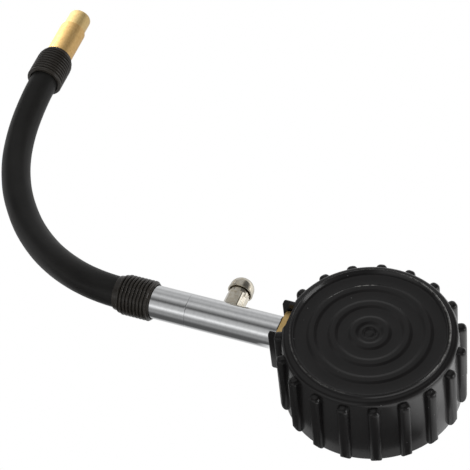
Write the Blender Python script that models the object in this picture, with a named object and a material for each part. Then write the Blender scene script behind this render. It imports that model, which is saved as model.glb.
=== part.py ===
"""Dial tyre pressure gauge in a rubber boot, with a bleed valve, a short hose and a straight brass chuck.

The gauge lies face down. Z runs along the gauge's axis, up from the table. The stem points along -X, the
dial's twelve o'clock lies toward +X, and the bleed button points along +Y. The origin is on the gauge's axis,
in the plane of the boot's front rim. Sizes are in millimetres and become metres when a mesh is made.
"""

import math

import bmesh
import bpy
from mathutils import Matrix, Vector

MM = 0.001
GAP = 0.3

# Sides of the round pieces: wide ones on the gauge's axis, the ones as thick as the stem, and small ones.
WIDE_SIDES = 32
STEM_SIDES = 18
SMALL_SIDES = 12

X_AXIS = Vector((1.0, 0.0, 0.0))
Y_AXIS = Vector((0.0, 1.0, 0.0))
Z_AXIS = Vector((0.0, 0.0, 1.0))

# Boot: a moulded rubber cup that holds the whole gauge.
BOOT_WALL_R = 35.0
BOOT_LIP_R = BOOT_WALL_R - 5.5
BOOT_SKIRT = 2.1
BOOT_LIP_T = 2.0
BOOT_BACK_Z = 34.8
BOOT_RING_DEPTH = 1.0
BOOT_BACK_T = 2.0
RING_SHARES = (0.658, 0.418, 0.188)
RING_CENTRES = tuple(BOOT_WALL_R * share for share in RING_SHARES)
RING_HALF_TOP = 0.029 * BOOT_WALL_R
RIM_RIDGE = 0.6
RING_WALL = 1.2
RING_RISE = 0.45
BOOT_SIDES = 38
RIB_COUNT = 18
RIB_POSITIONS = 19
RIB_FIRST_DEG = -163.8
RIB_DEPTH = 2.9
RIB_R = BOOT_WALL_R + RIB_DEPTH
RIB_W = 5.4
RIB_ROUNDING = 1.5
RIB_BOTTOM_Z = 0.5
RIB_TOP_Z = 31.7

# Collar of the boot: a saddle that is open at the back and hugs the brass shank.
COLLAR_END_X = -BOOT_WALL_R - 5.0
COLLAR_TOP_Z = 29.2
COLLAR_FLOOR_Z = 9.8
COLLAR_T = 2.3
COLLAR_BACK_X = -BOOT_WALL_R + 1.9

# Case, front to back.
CUP_T = 1.0
CUP_BACK_T = 1.0
CUP_R = BOOT_WALL_R - 3.1 - GAP
CUP_BACK_Z = BOOT_BACK_Z - BOOT_RING_DEPTH - BOOT_BACK_T - GAP
BEZEL_Z = BOOT_LIP_T + GAP
BEZEL_T = 1.0
BEZEL_OPEN_R = BOOT_LIP_R - 1.3
BEZEL_SKIRT_R = CUP_R - CUP_T - GAP
BEZEL_SKIRT_T = 1.0
LENS_R = BEZEL_SKIRT_R - BEZEL_SKIRT_T - GAP
LENS_Z = BEZEL_Z + BEZEL_T + GAP
LENS_T = 1.6
GASKET_Z = LENS_Z + LENS_T + GAP
GASKET_T = 2.2
GASKET_IN_R = LENS_R - 1.4
DIAL_Z = GASKET_Z + GASKET_T + GAP
DIAL_T = 0.6

# Movement: two plates on pillars with the sector, the pinion and the hairspring between them.
FRONT_PLATE_Z = 9.5
PLATE_T = 1.0
BACK_PLATE_Z = 14.7
PLATE_EDGE_R = 2.6
PILLAR_SPOTS = ((2.5, 9.0), (2.5, -9.0), (-20.5, -6.0))
PILLAR_R = 1.5
PIN_R = 0.7
ARBOR_R = 0.6
SECTOR_ARBOR_R = 0.8
SCREW_R = 0.7
SCREW_HEAD_R = 1.5
SCREW_HEAD_T = 0.7
MOVEMENT_SCREW_SPOTS = ((-14.0, 5.0), (-14.0, -5.0))

# Gears: a part of a 64-tooth wheel drives an 8-tooth pinion.
MODULE = 0.5
SECTOR_TEETH = 64
PINION_TEETH = 8
SECTOR_TEETH_CUT = 10
CENTRES = MODULE * (SECTOR_TEETH + PINION_TEETH) / 2
SECTOR_X = -CENTRES
TOOTH_SHARE = 0.40
SECTOR_Z = 11.9
SECTOR_T = 1.0
PINION_Z = 11.2
PINION_T = 2.0
SWING_DEG = 33.75

# Linkage from the tip of the tube to the sector's tail.
TAIL_R = 6.0
PULL_DEG = 54.4
TAIL_REST_DEG = PULL_DEG + 90.0 + SWING_DEG / 2
LINK_Z = SECTOR_Z + SECTOR_T + GAP
LINK_T = 0.7
LINK_EYE_R = 1.9
TIP_PIN_CLEARANCE = 0.45

# Bourdon tube: a flattened tube bent into a C round the movement.
BOURDON_R = CUP_R - 6.1
BOURDON_T = 2.6
BOURDON_WALL = 0.5
BOURDON_Z = 20.3
BOURDON_H = 8.0
BOURDON_END_DEG = 140.0
TIP_PIN_INSET = 5.08

# Socket block and its square shank.
STEM_Z = 18.5
SHANK_W = 14.4
SHANK_END_X = -BOOT_WALL_R - 3.2
BLOCK_W = 16.0
BLOCK_IN_X = -11.0
BLOCK_OUT_X = 3.1 - CUP_R
BLOCK_Z = BACK_PLATE_Z + PLATE_T + GAP
BLOCK_TOP_Z = STEM_Z + SHANK_W / 2
PORT_R = 2.0

# Stem tube and hose coupling.
TUBE_R = 7.1
TUBE_BORE_R = 3.6
SPIGOT_R = 5.2
SPIGOT_L = 7.5
SEAM_X = -78.8
BARB_R = 5.2
BARB_ROOT_R = 4.3
BARB_BORE_R = 2.6
BARB_L = 7.0
BARB_COUNT = 2

# Bleed valve on the stem.
VALVE_X = -62.6
VALVE_HEX_W = 8.6
VALVE_SPIGOT_R = 2.6
VALVE_BOTTOM_Y = 3.0
VALVE_HEX_TOP_Y = 13.2
VALVE_TOP_Y = 15.8
VALVE_NECK_R = 3.6
VALVE_BORE_R = 2.6
VALVE_FLOOR_Y = 7.5
VALVE_SEAT_R = 1.1
BUTTON_R = 5.45
BUTTON_RIM_Y = 15.0
BUTTON_TOP_Y = 21.8
BUTTON_SHELL = 0.6
BUTTON_POST_Y = 12.0
SPRING_WIRE_R = 0.22
SPRING_TURNS = 3.5

# Hose and its two ribbed sleeves.
HOSE_R = 6.7
NEAR_SLEEVE_X = -94.8
NEAR_SLEEVE_L = 16.8
FAR_SLEEVE_L = 19.4
NEAR_SLEEVE_R = 8.6
FAR_SLEEVE_R = 8.7
SLEEVE_RING_DEPTH = 0.85
SLEEVE_RING_PITCH = 1.6
SLEEVE_RINGS = 8
SLEEVE_TAPER_L = 3.2
SLEEVE_TAPER = 1.0
HOSE_IN_SLEEVE = 7.0
HOSE_POINT_STEP = 9.0

# Chuck: its axis starts at the rim of the far sleeve and leans a little from +Y.
CHUCK_START = Vector((-206.6, 116.7, 8.8))
CHUCK_DEG = 93.4
CHUCK_R = 6.4
CHUCK_STEP = 37.5
NOSE_R = 5.55
NOSE_END = 47.8
VALVE_HOLE_R = 4.3

CHUCK_AXIS = Vector((math.cos(math.radians(CHUCK_DEG)), math.sin(math.radians(CHUCK_DEG)), 0.0))
NEAR_HOSE_END = Vector((NEAR_SLEEVE_X - NEAR_SLEEVE_L + HOSE_IN_SLEEVE, 0.0, STEM_Z))
FAR_HOSE_END = CHUCK_START + CHUCK_AXIS * HOSE_IN_SLEEVE

# Route of the hose between its two straight ends: out of the near sleeve, down to the table in a wide bend,
# along the table, and up a little into the far sleeve.
HOSE_ROUTE = (
    (-108.0, 0.0, 18.5),
    (-118.7, 0.9, 18.0),
    (-129.1, 3.4, 16.7),
    (-139.0, 7.4, 14.8),
    (-148.3, 12.4, 12.6),
    (-157.1, 18.3, 10.4),
    (-165.4, 24.9, 8.5),
    (-173.3, 32.2, 7.2),
    (-180.5, 40.2, 6.8),
    (-187.0, 48.8, 6.8),
    (-192.5, 58.1, 6.8),
    (-197.1, 67.9, 6.8),
    (-200.7, 78.1, 6.8),
    (-203.3, 88.6, 7.3),
    (-205.0, 99.2, 8.0),
    (-206.1, 109.9, 8.7),
)

MATERIALS = {
    "black_rubber": ((0.018, 0.018, 0.019), 0.62, 0.0),
    "brass": ((0.62, 0.44, 0.19), 0.30, 1.0),
    "polished_metal": ((0.80, 0.81, 0.82), 0.16, 1.0),
    "nickel_plate": ((0.62, 0.60, 0.55), 0.28, 1.0),
    "case_steel": ((0.55, 0.56, 0.58), 0.38, 1.0),
    "spring_bronze": ((0.50, 0.36, 0.19), 0.35, 1.0),
    "clear_lens": ((0.95, 0.97, 0.98), 0.05, 0.0),
    "dial_white": ((0.88, 0.88, 0.86), 0.50, 0.0),
    "pointer_black": ((0.02, 0.02, 0.02), 0.45, 0.0),
    "seal_rubber": ((0.03, 0.03, 0.03), 0.70, 0.0),
}


def clear_scene():
    for thing in list(bpy.data.objects):
        bpy.data.objects.remove(thing, do_unlink=True)


def material(name):
    """Return the named material, made on first use from the table above."""
    found = bpy.data.materials.get(name)
    if found:
        return found
    colour, roughness, metallic = MATERIALS[name]
    made = bpy.data.materials.new(name)
    made.use_nodes = True
    shader = made.node_tree.nodes["Principled BSDF"]
    shader.inputs["Base Color"].default_value = (*colour, 1.0)
    shader.inputs["Roughness"].default_value = roughness
    shader.inputs["Metallic"].default_value = metallic
    made.diffuse_color = (*colour, 1.0)
    return made


def turn_to(axis):
    """Return the rotation that takes +Z to the axis."""
    return Z_AXIS.rotation_difference(axis)


def place(thing, origin, axis=Z_AXIS):
    """Put an object's origin at a point, with its own +Z along the axis."""
    thing.rotation_mode = "QUATERNION"
    thing.rotation_quaternion = turn_to(axis)
    thing.location = Vector(origin) * MM
    return thing


def make_object(name, mesh_data, finish, origin=(0.0, 0.0, 0.0), axis=Z_AXIS):
    """Turn a bmesh in millimetres into an object in metres, with its faces outward and rounds shaded smooth."""
    bmesh.ops.recalc_face_normals(mesh_data, faces=mesh_data.faces[:])
    bmesh.ops.scale(mesh_data, vec=(MM, MM, MM), verts=mesh_data.verts[:])
    mesh = bpy.data.meshes.new(name)
    mesh_data.to_mesh(mesh)
    mesh_data.free()
    mesh.materials.append(material(finish))
    mesh.shade_smooth()
    mesh.set_sharp_from_angle(angle=math.radians(35.0))
    thing = bpy.data.objects.new(name, mesh)
    bpy.context.scene.collection.objects.link(thing)
    return place(thing, origin, axis)


def lathe(profile, segments):
    """Revolve (radius, height) points round +Z. The loop closes itself, on the axis or as a ring."""
    solid = bmesh.new()
    rings = []
    for radius, height in profile:
        if radius == 0.0:
            rings.append([solid.verts.new((0.0, 0.0, height))])
            continue
        ring = []
        for step in range(segments):
            angle = 2.0 * math.pi * step / segments
            ring.append(solid.verts.new((radius * math.cos(angle), radius * math.sin(angle), height)))
        rings.append(ring)
    for index, ring in enumerate(rings):
        following = rings[(index + 1) % len(rings)]
        if len(ring) == 1 and len(following) == 1:
            continue
        for step in range(segments):
            after = (step + 1) % segments
            corners = [ring[step % len(ring)], ring[after % len(ring)]]
            corners += [following[after % len(following)], following[step % len(following)]]
            solid.faces.new(list(dict.fromkeys(corners)))
    return solid


def prism(outline, low, high):
    """Extrude a flat outline of (x, y) points from one height to another."""
    solid = bmesh.new()
    bottom = [solid.verts.new((x, y, low)) for x, y in outline]
    top = [solid.verts.new((x, y, high)) for x, y in outline]
    solid.faces.new(bottom)
    solid.faces.new(top)
    for index, corner in enumerate(bottom):
        after = (index + 1) % len(bottom)
        solid.faces.new((corner, bottom[after], top[after], top[index]))
    return solid


def block(low, high, bevel=0.0, bevel_steps=2, keep=None):
    """Make a box between two corners. Edges that pass the keep test get a rounding."""
    solid = bmesh.new()
    bmesh.ops.create_cube(solid, size=1.0)
    size = Vector(high) - Vector(low)
    middle = (Vector(high) + Vector(low)) / 2.0
    bmesh.ops.scale(solid, vec=size, verts=solid.verts[:])
    bmesh.ops.translate(solid, vec=middle, verts=solid.verts[:])
    if bevel:
        edges = [edge for edge in solid.edges if keep is None or keep(edge)]
        bmesh.ops.bevel(solid, geom=edges, offset=bevel, segments=bevel_steps, profile=0.5, affect="EDGES")
    return solid


def circle_points(centre, radius, start_deg=0.0, end_deg=360.0, steps=24):
    """Return points along an arc; a full circle doesn't repeat its first point."""
    full = abs(end_deg - start_deg) >= 360.0
    count = steps if full else steps + 1
    points = []
    for step in range(count):
        angle = math.radians(start_deg + (end_deg - start_deg) * step / steps)
        points.append((centre[0] + radius * math.cos(angle), centre[1] + radius * math.sin(angle)))
    return points


def hull_outline(discs, steps=SMALL_SIDES):
    """Return the outline of a band stretched round several (x, y, radius) discs."""
    cloud = []
    for x, y, radius in discs:
        cloud += circle_points((x, y), radius, steps=steps)
    cloud = sorted(set((round(px, 6), round(py, 6)) for px, py in cloud))

    def half(points):
        chain = []
        for point in points:
            while len(chain) > 1:
                (ax, ay), (bx, by) = chain[-2], chain[-1]
                turn = (bx - ax) * (point[1] - ay) - (by - ay) * (point[0] - ax)
                if turn > 1e-9:
                    break
                chain.pop()
            chain.append(point)
        return chain[:-1]

    return half(cloud) + half(cloud[::-1])


def helper(name, solid, origin=(0.0, 0.0, 0.0), axis=Z_AXIS):
    """Make a tool body that a Boolean uses and that isn't a piece itself."""
    thing = make_object(name, solid, "case_steel", origin, axis)
    thing.hide_render = True
    thing.display_type = "WIRE"
    return thing


def combine(target, tool, operation):
    """Cut the tool from the target, or fuse the two."""
    step = target.modifiers.new(tool.name, "BOOLEAN")
    step.operation = operation
    step.solver = "EXACT"
    step.object = tool
    return target


def cut(target, tool):
    return combine(target, tool, "DIFFERENCE")


def fuse(target, tool):
    return combine(target, tool, "UNION")


def rod(radius, low, high, segments=SMALL_SIDES):
    return lathe([(0.0, low), (radius, low), (radius, high), (0.0, high)], segments)


def polar(radius, degrees):
    return radius * math.cos(math.radians(degrees)), radius * math.sin(math.radians(degrees))


def tail_pin_spot():
    x, y = polar(TAIL_R, TAIL_REST_DEG)
    return SECTOR_X + x, y


def tip_pin_spot():
    """Where the link, laid along the pull from the tail pin, ends a little inside the Bourdon tube."""
    tail = Vector(tail_pin_spot())
    pull = Vector(polar(1.0, PULL_DEG))
    along = tail.dot(pull)
    reach = math.sqrt(along ** 2 - tail.length_squared + (BOURDON_R - TIP_PIN_INSET) ** 2) - along
    spot = tail + pull * reach
    return spot.x, spot.y


def boot_profile():
    """Section of the boot: its lip, its skirt and wall, the two rims and the rings of its back, and its inside."""
    top = BOOT_BACK_Z
    floor = BOOT_BACK_Z - BOOT_RING_DEPTH
    crest = floor + RING_RISE
    inside_r = CUP_R + GAP
    inside_z = CUP_BACK_Z + GAP
    wall_r = BOOT_WALL_R
    skirt_r = wall_r + BOOT_SKIRT
    points = [(BOOT_LIP_R, 0.0), (skirt_r - 0.2, 0.0), (skirt_r, 0.9), (wall_r, 2.3), (wall_r, top - 3.6)]
    points += [(wall_r - 0.5, top - 1.8), (wall_r - 1.4, top - 1.3), (wall_r - 2.4, top - 1.8)]
    points += [(wall_r - 3.1, top), (wall_r - 3.6, top + RIM_RIDGE), (wall_r - 5.4, floor)]
    for centre in RING_CENTRES:
        points += [(centre + RING_HALF_TOP + RING_WALL, floor), (centre + RING_HALF_TOP, crest)]
        points += [(centre - RING_HALF_TOP, crest), (centre - RING_HALF_TOP - RING_WALL, floor)]
    points += [(3.7, floor), (3.1, floor + 0.2), (2.2, floor - 0.5), (0.0, floor - 0.4)]
    points += [(0.0, inside_z), (inside_r, inside_z), (inside_r, BOOT_LIP_T), (BOOT_LIP_R, BOOT_LIP_T)]
    return points


def make_boot():
    boot = make_object("boot", lathe(boot_profile(), BOOT_SIDES), "black_rubber")

    ribs = bmesh.new()
    pitch = 360.0 / RIB_POSITIONS
    for index in range(RIB_COUNT):
        rib = block((BOOT_WALL_R - 1.5, -RIB_W / 2, RIB_BOTTOM_Z), (RIB_R, RIB_W / 2, RIB_TOP_Z), RIB_ROUNDING, 1,
                    lambda edge: min(vert.co.x for vert in edge.verts) > RIB_R - 0.1
                    and max(vert.co.z for vert in edge.verts) > RIB_TOP_Z - 0.1)
        turn = Matrix.Rotation(math.radians(RIB_FIRST_DEG + pitch * index), 4, "Z")
        bmesh.ops.transform(rib, matrix=turn, verts=rib.verts[:])
        piece = bpy.data.meshes.new("rib")
        rib.to_mesh(piece)
        rib.free()
        ribs.from_mesh(piece)
        bpy.data.meshes.remove(piece)
    fuse(boot, helper("rib_tool", ribs))

    half_notch = SHANK_W / 2 + GAP
    half_collar = half_notch + COLLAR_T
    collar = block((COLLAR_END_X, -half_collar, COLLAR_FLOOR_Z - COLLAR_T),
                   (-CUP_R - 1.6, half_collar, COLLAR_TOP_Z), 0.9, 2,
                   lambda edge: min(vert.co.x for vert in edge.verts) < COLLAR_END_X + 0.1)
    fuse(boot, helper("collar_tool", collar))

    above = BOOT_BACK_Z + 10.0
    notch = block((COLLAR_END_X - 4.0, -half_notch, COLLAR_FLOOR_Z), (COLLAR_BACK_X, half_notch, above), 1.4, 3,
                  lambda edge: all(vert.co.z < 10.0 or vert.co.x > COLLAR_BACK_X - 0.1 for vert in edge.verts))
    cut(boot, helper("notch_tool", notch))
    half_hole = half_notch - 0.05
    low = STEM_Z - half_notch
    high = STEM_Z + half_notch
    hole = block((COLLAR_END_X - 6.0, -half_hole, low), (-CUP_R + 6.6, half_hole, high))
    cut(boot, helper("boot_hole_tool", hole))


def make_case():
    cup = [(CUP_R, LENS_Z), (CUP_R, CUP_BACK_Z), (0.0, CUP_BACK_Z), (0.0, CUP_BACK_Z - CUP_BACK_T)]
    cup += [(CUP_R - CUP_T, CUP_BACK_Z - CUP_BACK_T), (CUP_R - CUP_T, LENS_Z)]
    case = make_object("case_cup", lathe(cup, WIDE_SIDES), "case_steel")
    half = SHANK_W / 2 + GAP
    window = block((-CUP_R - 4.0, -half, STEM_Z - half), (-CUP_R + 6.0, half, STEM_Z + half))
    cut(case, helper("case_window_tool", window))

    skirt_in = BEZEL_SKIRT_R - BEZEL_SKIRT_T
    bezel = [(BEZEL_OPEN_R + 0.4, BEZEL_Z), (CUP_R, BEZEL_Z)]
    bezel += [(CUP_R, BEZEL_Z + BEZEL_T), (BEZEL_SKIRT_R, BEZEL_Z + BEZEL_T), (BEZEL_SKIRT_R, DIAL_Z)]
    bezel += [(skirt_in, DIAL_Z), (skirt_in, BEZEL_Z + BEZEL_T), (BEZEL_OPEN_R, BEZEL_Z + BEZEL_T)]
    bezel += [(BEZEL_OPEN_R, BEZEL_Z + 0.4)]
    make_object("bezel_ring", lathe(bezel, WIDE_SIDES), "polished_metal")
    make_object("lens", rod(LENS_R, LENS_Z, LENS_Z + LENS_T, WIDE_SIDES), "clear_lens")
    gasket = [(GASKET_IN_R, GASKET_Z), (LENS_R, GASKET_Z), (LENS_R, GASKET_Z + GASKET_T)]
    gasket += [(GASKET_IN_R, GASKET_Z + GASKET_T)]
    make_object("lens_gasket", lathe(gasket, WIDE_SIDES), "seal_rubber")


def screw_profile(head_low, tip, head_r=SCREW_HEAD_R, shank_r=SCREW_R):
    """Cheese-head screw with its head at the low end of +Z."""
    head_high = head_low + SCREW_HEAD_T
    return [(0.0, head_low), (head_r - 0.2, head_low), (head_r, head_low + 0.2), (head_r, head_high),
            (shank_r, head_high), (shank_r, tip), (0.0, tip)]


def make_dial():
    dial = make_object("dial_plate", rod(LENS_R, DIAL_Z, DIAL_Z + DIAL_T, WIDE_SIDES), "dial_white")
    cut(dial, helper("dial_hole_tool", rod(ARBOR_R + 0.7, DIAL_Z - 1.0, DIAL_Z + 2.0)))
    for index, spot in enumerate(PILLAR_SPOTS[:2], start=1):
        hole = helper(f"dial_screw_hole_{index}", rod(SCREW_R + GAP, -1.5, 1.5), (*spot, DIAL_Z))
        cut(dial, hole)
        profile = screw_profile(-GAP - SCREW_HEAD_T, FRONT_PLATE_Z + PLATE_T - DIAL_Z - 0.2)
        make_object(f"dial_screw_{index}", lathe(profile, SMALL_SIDES), "case_steel", (*spot, DIAL_Z))

    zero_deg = -135.0
    pin_side = 1.6
    along = Vector((*polar(16.0, zero_deg), 0.0))
    across = Vector((*polar(pin_side, zero_deg - 90.0), 0.0))
    spot = along + across
    cut(dial, helper("stop_pin_hole", rod(0.5 + GAP, -1.5, 1.5), (spot.x, spot.y, DIAL_Z)))
    make_object("stop_pin", rod(0.5, -2.5, 1.0), "brass", (spot.x, spot.y, DIAL_Z))

    blade_z = LENS_Z + LENS_T + 0.5
    blade = [(LENS_R - 6.0, -0.25), (LENS_R - 6.0, 0.25), (2.0, 0.8)] + circle_points((0.0, 0.0), 2.2, 40.0, 150.0, 8)
    blade += [(-8.0, 1.1), (-8.0, -1.1)] + circle_points((0.0, 0.0), 2.2, 210.0, 320.0, 8) + [(2.0, -0.8)]
    blade = sorted(set(blade), key=blade.index)
    pointer = make_object("pointer", prism(blade, 0.0, 0.5), "pointer_black", (0.0, 0.0, blade_z))
    pointer.rotation_quaternion = Matrix.Rotation(math.radians(zero_deg), 3, "Z").to_quaternion()
    fuse(pointer, helper("pointer_hub_tool", rod(1.9, 0.1, 1.7), (0.0, 0.0, blade_z)))
    cut(pointer, helper("pointer_bore_tool", rod(ARBOR_R + GAP, 0.3, 3.0), (0.0, 0.0, blade_z)))


def make_plates():
    discs = [(*spot, PLATE_EDGE_R) for spot in PILLAR_SPOTS] + [(SECTOR_X, 0.0, PLATE_EDGE_R)]
    outline = hull_outline(discs)
    front = make_object("front_plate", prism(outline, FRONT_PLATE_Z, FRONT_PLATE_Z + PLATE_T), "brass")
    back = make_object("back_plate", prism(outline, BACK_PLATE_Z, BACK_PLATE_Z + PLATE_T), "brass")
    low = FRONT_PLATE_Z - 2.0
    high = BACK_PLATE_Z + PLATE_T + 1.0
    for index, spot in enumerate(PILLAR_SPOTS[:2], start=1):
        boss = rod(2.0, DIAL_Z + DIAL_T + GAP, FRONT_PLATE_Z + 0.5)
        fuse(front, helper(f"plate_boss_{index}", boss, (*spot, 0.0)))
        hole = rod(SCREW_R + GAP, low, FRONT_PLATE_Z + PLATE_T + 0.5)
        cut(front, helper(f"plate_screw_hole_{index}", hole, (*spot, 0.0)))
    for plate in (front, back):
        label = plate.name
        cut(plate, helper(f"{label}_pinion_hole", rod(ARBOR_R + GAP, low, high)))
        cut(plate, helper(f"{label}_sector_hole", rod(SECTOR_ARBOR_R + GAP, low, high), (SECTOR_X, 0.0, 0.0)))

    pillar_low = FRONT_PLATE_Z + PLATE_T + GAP
    pillar_high = BACK_PLATE_Z - GAP
    profile = [(0.0, pillar_low), (PILLAR_R, pillar_low), (PILLAR_R, pillar_high), (0.9, pillar_high)]
    profile += [(0.9, BACK_PLATE_Z + PLATE_T - 0.1), (0.0, BACK_PLATE_Z + PLATE_T - 0.1)]
    for index, spot in enumerate(PILLAR_SPOTS, start=1):
        make_object(f"pillar_{index}", lathe(profile, SMALL_SIDES), "brass", (*spot, 0.0))
        hole = rod(0.9 + GAP, BACK_PLATE_Z - 1.0, high)
        cut(back, helper(f"pillar_hole_{index}", hole, (*spot, 0.0)))
    for index, spot in enumerate(MOVEMENT_SCREW_SPOTS, start=1):
        head_low = BACK_PLATE_Z - GAP - SCREW_HEAD_T
        make_object(f"movement_screw_{index}", lathe(screw_profile(head_low, BLOCK_Z + 4.0), SMALL_SIDES),
                    "case_steel", (*spot, 0.0))
        hole = rod(SCREW_R + GAP, BACK_PLATE_Z - 1.0, BLOCK_Z + 4.0 + GAP)
        cut(back, helper(f"movement_screw_hole_{index}", hole, (*spot, 0.0)))


def involute(base_r, radius):
    """Angle, in radians, that the involute has turned where it reaches the radius."""
    if radius <= base_r:
        return 0.0
    slope = math.sqrt((radius / base_r) ** 2 - 1.0)
    return slope - math.atan(slope)


def tooth_points(teeth, addendum, dedendum, middle_deg, steps=3):
    """Return one gear tooth's flank and tip points, ordered by rising angle."""
    pitch_r = MODULE * teeth / 2
    base_r = pitch_r * math.cos(math.radians(20.0))
    root_r = pitch_r - dedendum
    tip_r = pitch_r + addendum
    half_pitch_angle = math.pi * TOOTH_SHARE / teeth
    at_pitch = involute(base_r, pitch_r)
    flank = []
    for step in range(steps + 1):
        radius = root_r + (tip_r - root_r) * step / steps
        angle = half_pitch_angle + at_pitch - involute(base_r, radius)
        flank.append((radius, max(angle, 0.15 * half_pitch_angle)))
    middle = math.radians(middle_deg)
    rising = [(radius * math.cos(middle - angle), radius * math.sin(middle - angle)) for radius, angle in flank]
    falling = [(radius * math.cos(middle + angle), radius * math.sin(middle + angle)) for radius, angle in flank]
    return rising + falling[::-1]


def make_sector():
    """Sector gear: a toothed fan with its tail arm, its arbor and the pin that the link turns on."""
    pitch_deg = 360.0 / SECTOR_TEETH
    outline = []
    for index in range(SECTOR_TEETH_CUT):
        middle = (index - 1.5) * pitch_deg
        outline += tooth_points(SECTOR_TEETH, 0.85 * MODULE, 1.3 * MODULE, middle)
    fan_start = -2.0 * pitch_deg
    fan_end = fan_start + SECTOR_TEETH_CUT * pitch_deg
    rim_r = MODULE * SECTOR_TEETH / 2 - 1.3 * MODULE
    outline = [polar(rim_r, fan_start)] + outline + [polar(rim_r, fan_end)]
    outline += [polar(4.2, fan_end + 25.0)]
    outline += [polar(TAIL_R, TAIL_REST_DEG - 16.0)]
    outline += circle_points(polar(TAIL_R, TAIL_REST_DEG), 1.5, TAIL_REST_DEG - 80.0, TAIL_REST_DEG + 80.0, 8)
    outline += [polar(2.6, 210.0), polar(2.6, 250.0), polar(2.6, 290.0)]
    solid = prism(outline, SECTOR_Z, SECTOR_Z + SECTOR_T)
    sector = make_object("sector_gear", solid, "brass", (SECTOR_X, 0.0, 0.0))
    arbor = rod(SECTOR_ARBOR_R, FRONT_PLATE_Z, BACK_PLATE_Z + PLATE_T)
    fuse(sector, helper("sector_arbor_tool", arbor, (SECTOR_X, 0.0, 0.0)))
    pin = rod(PIN_R, SECTOR_Z + 0.3, LINK_Z + LINK_T + 0.4)
    fuse(sector, helper("tail_pin_tool", pin, (*tail_pin_spot(), 0.0)))
    window = circle_points((0.0, 0.0), 13.0, fan_start + 8.0, fan_end - 8.0, 8)
    window += circle_points((0.0, 0.0), 6.0, fan_end - 14.0, fan_start + 14.0, 4)
    lightening = prism(window, SECTOR_Z - 1.0, SECTOR_Z + SECTOR_T + 1.0)
    cut(sector, helper("sector_window_tool", lightening, (SECTOR_X, 0.0, 0.0)))


def make_pinion():
    outline = []
    for index in range(PINION_TEETH):
        middle = 180.0 + index * 360.0 / PINION_TEETH
        outline += tooth_points(PINION_TEETH, 0.85 * MODULE, 1.3 * MODULE, middle)
    arbor = make_object("pinion_arbor", prism(outline, PINION_Z, PINION_Z + PINION_T), "case_steel")
    shaft_low = LENS_Z + LENS_T + 0.5 + 0.3 + GAP
    shaft = rod(ARBOR_R, shaft_low, BACK_PLATE_Z + PLATE_T + 0.6)
    fuse(arbor, helper("pinion_shaft_tool", shaft))

    spring_low = PINION_Z + PINION_T + GAP
    spring_high = BACK_PLATE_Z - 0.4
    collet = [(ARBOR_R + GAP, spring_low), (1.6, spring_low), (1.6, spring_high), (ARBOR_R + GAP, spring_high)]
    make_object("hairspring_collet", lathe(collet, SMALL_SIDES), "brass")
    turns = 3.5
    start_r = 1.6 + GAP
    pitch = 0.85
    thick = 0.35
    steps = 42
    inner = []
    outer = []
    for step in range(steps + 1):
        angle = 360.0 * turns * step / steps
        radius = start_r + pitch * turns * step / steps
        inner.append(polar(radius, angle))
        outer.append(polar(radius + thick, angle))
    strip = bmesh.new()
    columns = []
    for near, far in zip(inner, outer):
        corners = [(*near, spring_low), (*far, spring_low), (*far, spring_high), (*near, spring_high)]
        columns.append([strip.verts.new(corner) for corner in corners])
    for before, after in zip(columns, columns[1:]):
        for side in range(4):
            beside = (side + 1) % 4
            strip.faces.new((before[side], before[beside], after[beside], after[side]))
    strip.faces.new(columns[0])
    strip.faces.new(columns[-1])
    make_object("hairspring", strip, "spring_bronze")
    end_r = start_r + pitch * turns + thick / 2
    end_x, end_y = polar(end_r, 360.0 * turns)
    stud = block((end_x - 1.2, end_y - GAP - 1.5, spring_low), (end_x + 0.3, end_y - GAP, BACK_PLATE_Z - GAP))
    make_object("hairspring_stud", stud, "brass")


def make_link():
    tail_x, tail_y = tail_pin_spot()
    tip_x, tip_y = tip_pin_spot()
    outline = hull_outline([(0.0, 0.0, LINK_EYE_R), (tip_x - tail_x, tip_y - tail_y, LINK_EYE_R)])
    link = make_object("link", prism(outline, 0.0, LINK_T), "brass", (tail_x, tail_y, LINK_Z))
    cut(link, helper("link_tail_eye", rod(PIN_R + GAP, -1.0, 2.0), (tail_x, tail_y, LINK_Z)))
    cut(link, helper("link_tip_eye", rod(PIN_R + TIP_PIN_CLEARANCE, -1.0, 2.0), (tip_x, tip_y, LINK_Z)))


def oval_section(half_t, half_h, steps=2):
    """Flat oval in (radial offset, height offset), round at its two short ends."""
    points = []
    straight = half_h - half_t
    for step in range(steps + 1):
        angle = math.pi * step / steps
        points.append((half_t * math.cos(angle), straight + half_t * math.sin(angle)))
    for step in range(steps + 1):
        angle = math.pi + math.pi * step / steps
        points.append((half_t * math.cos(angle), -straight + half_t * math.sin(angle)))
    return points


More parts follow.
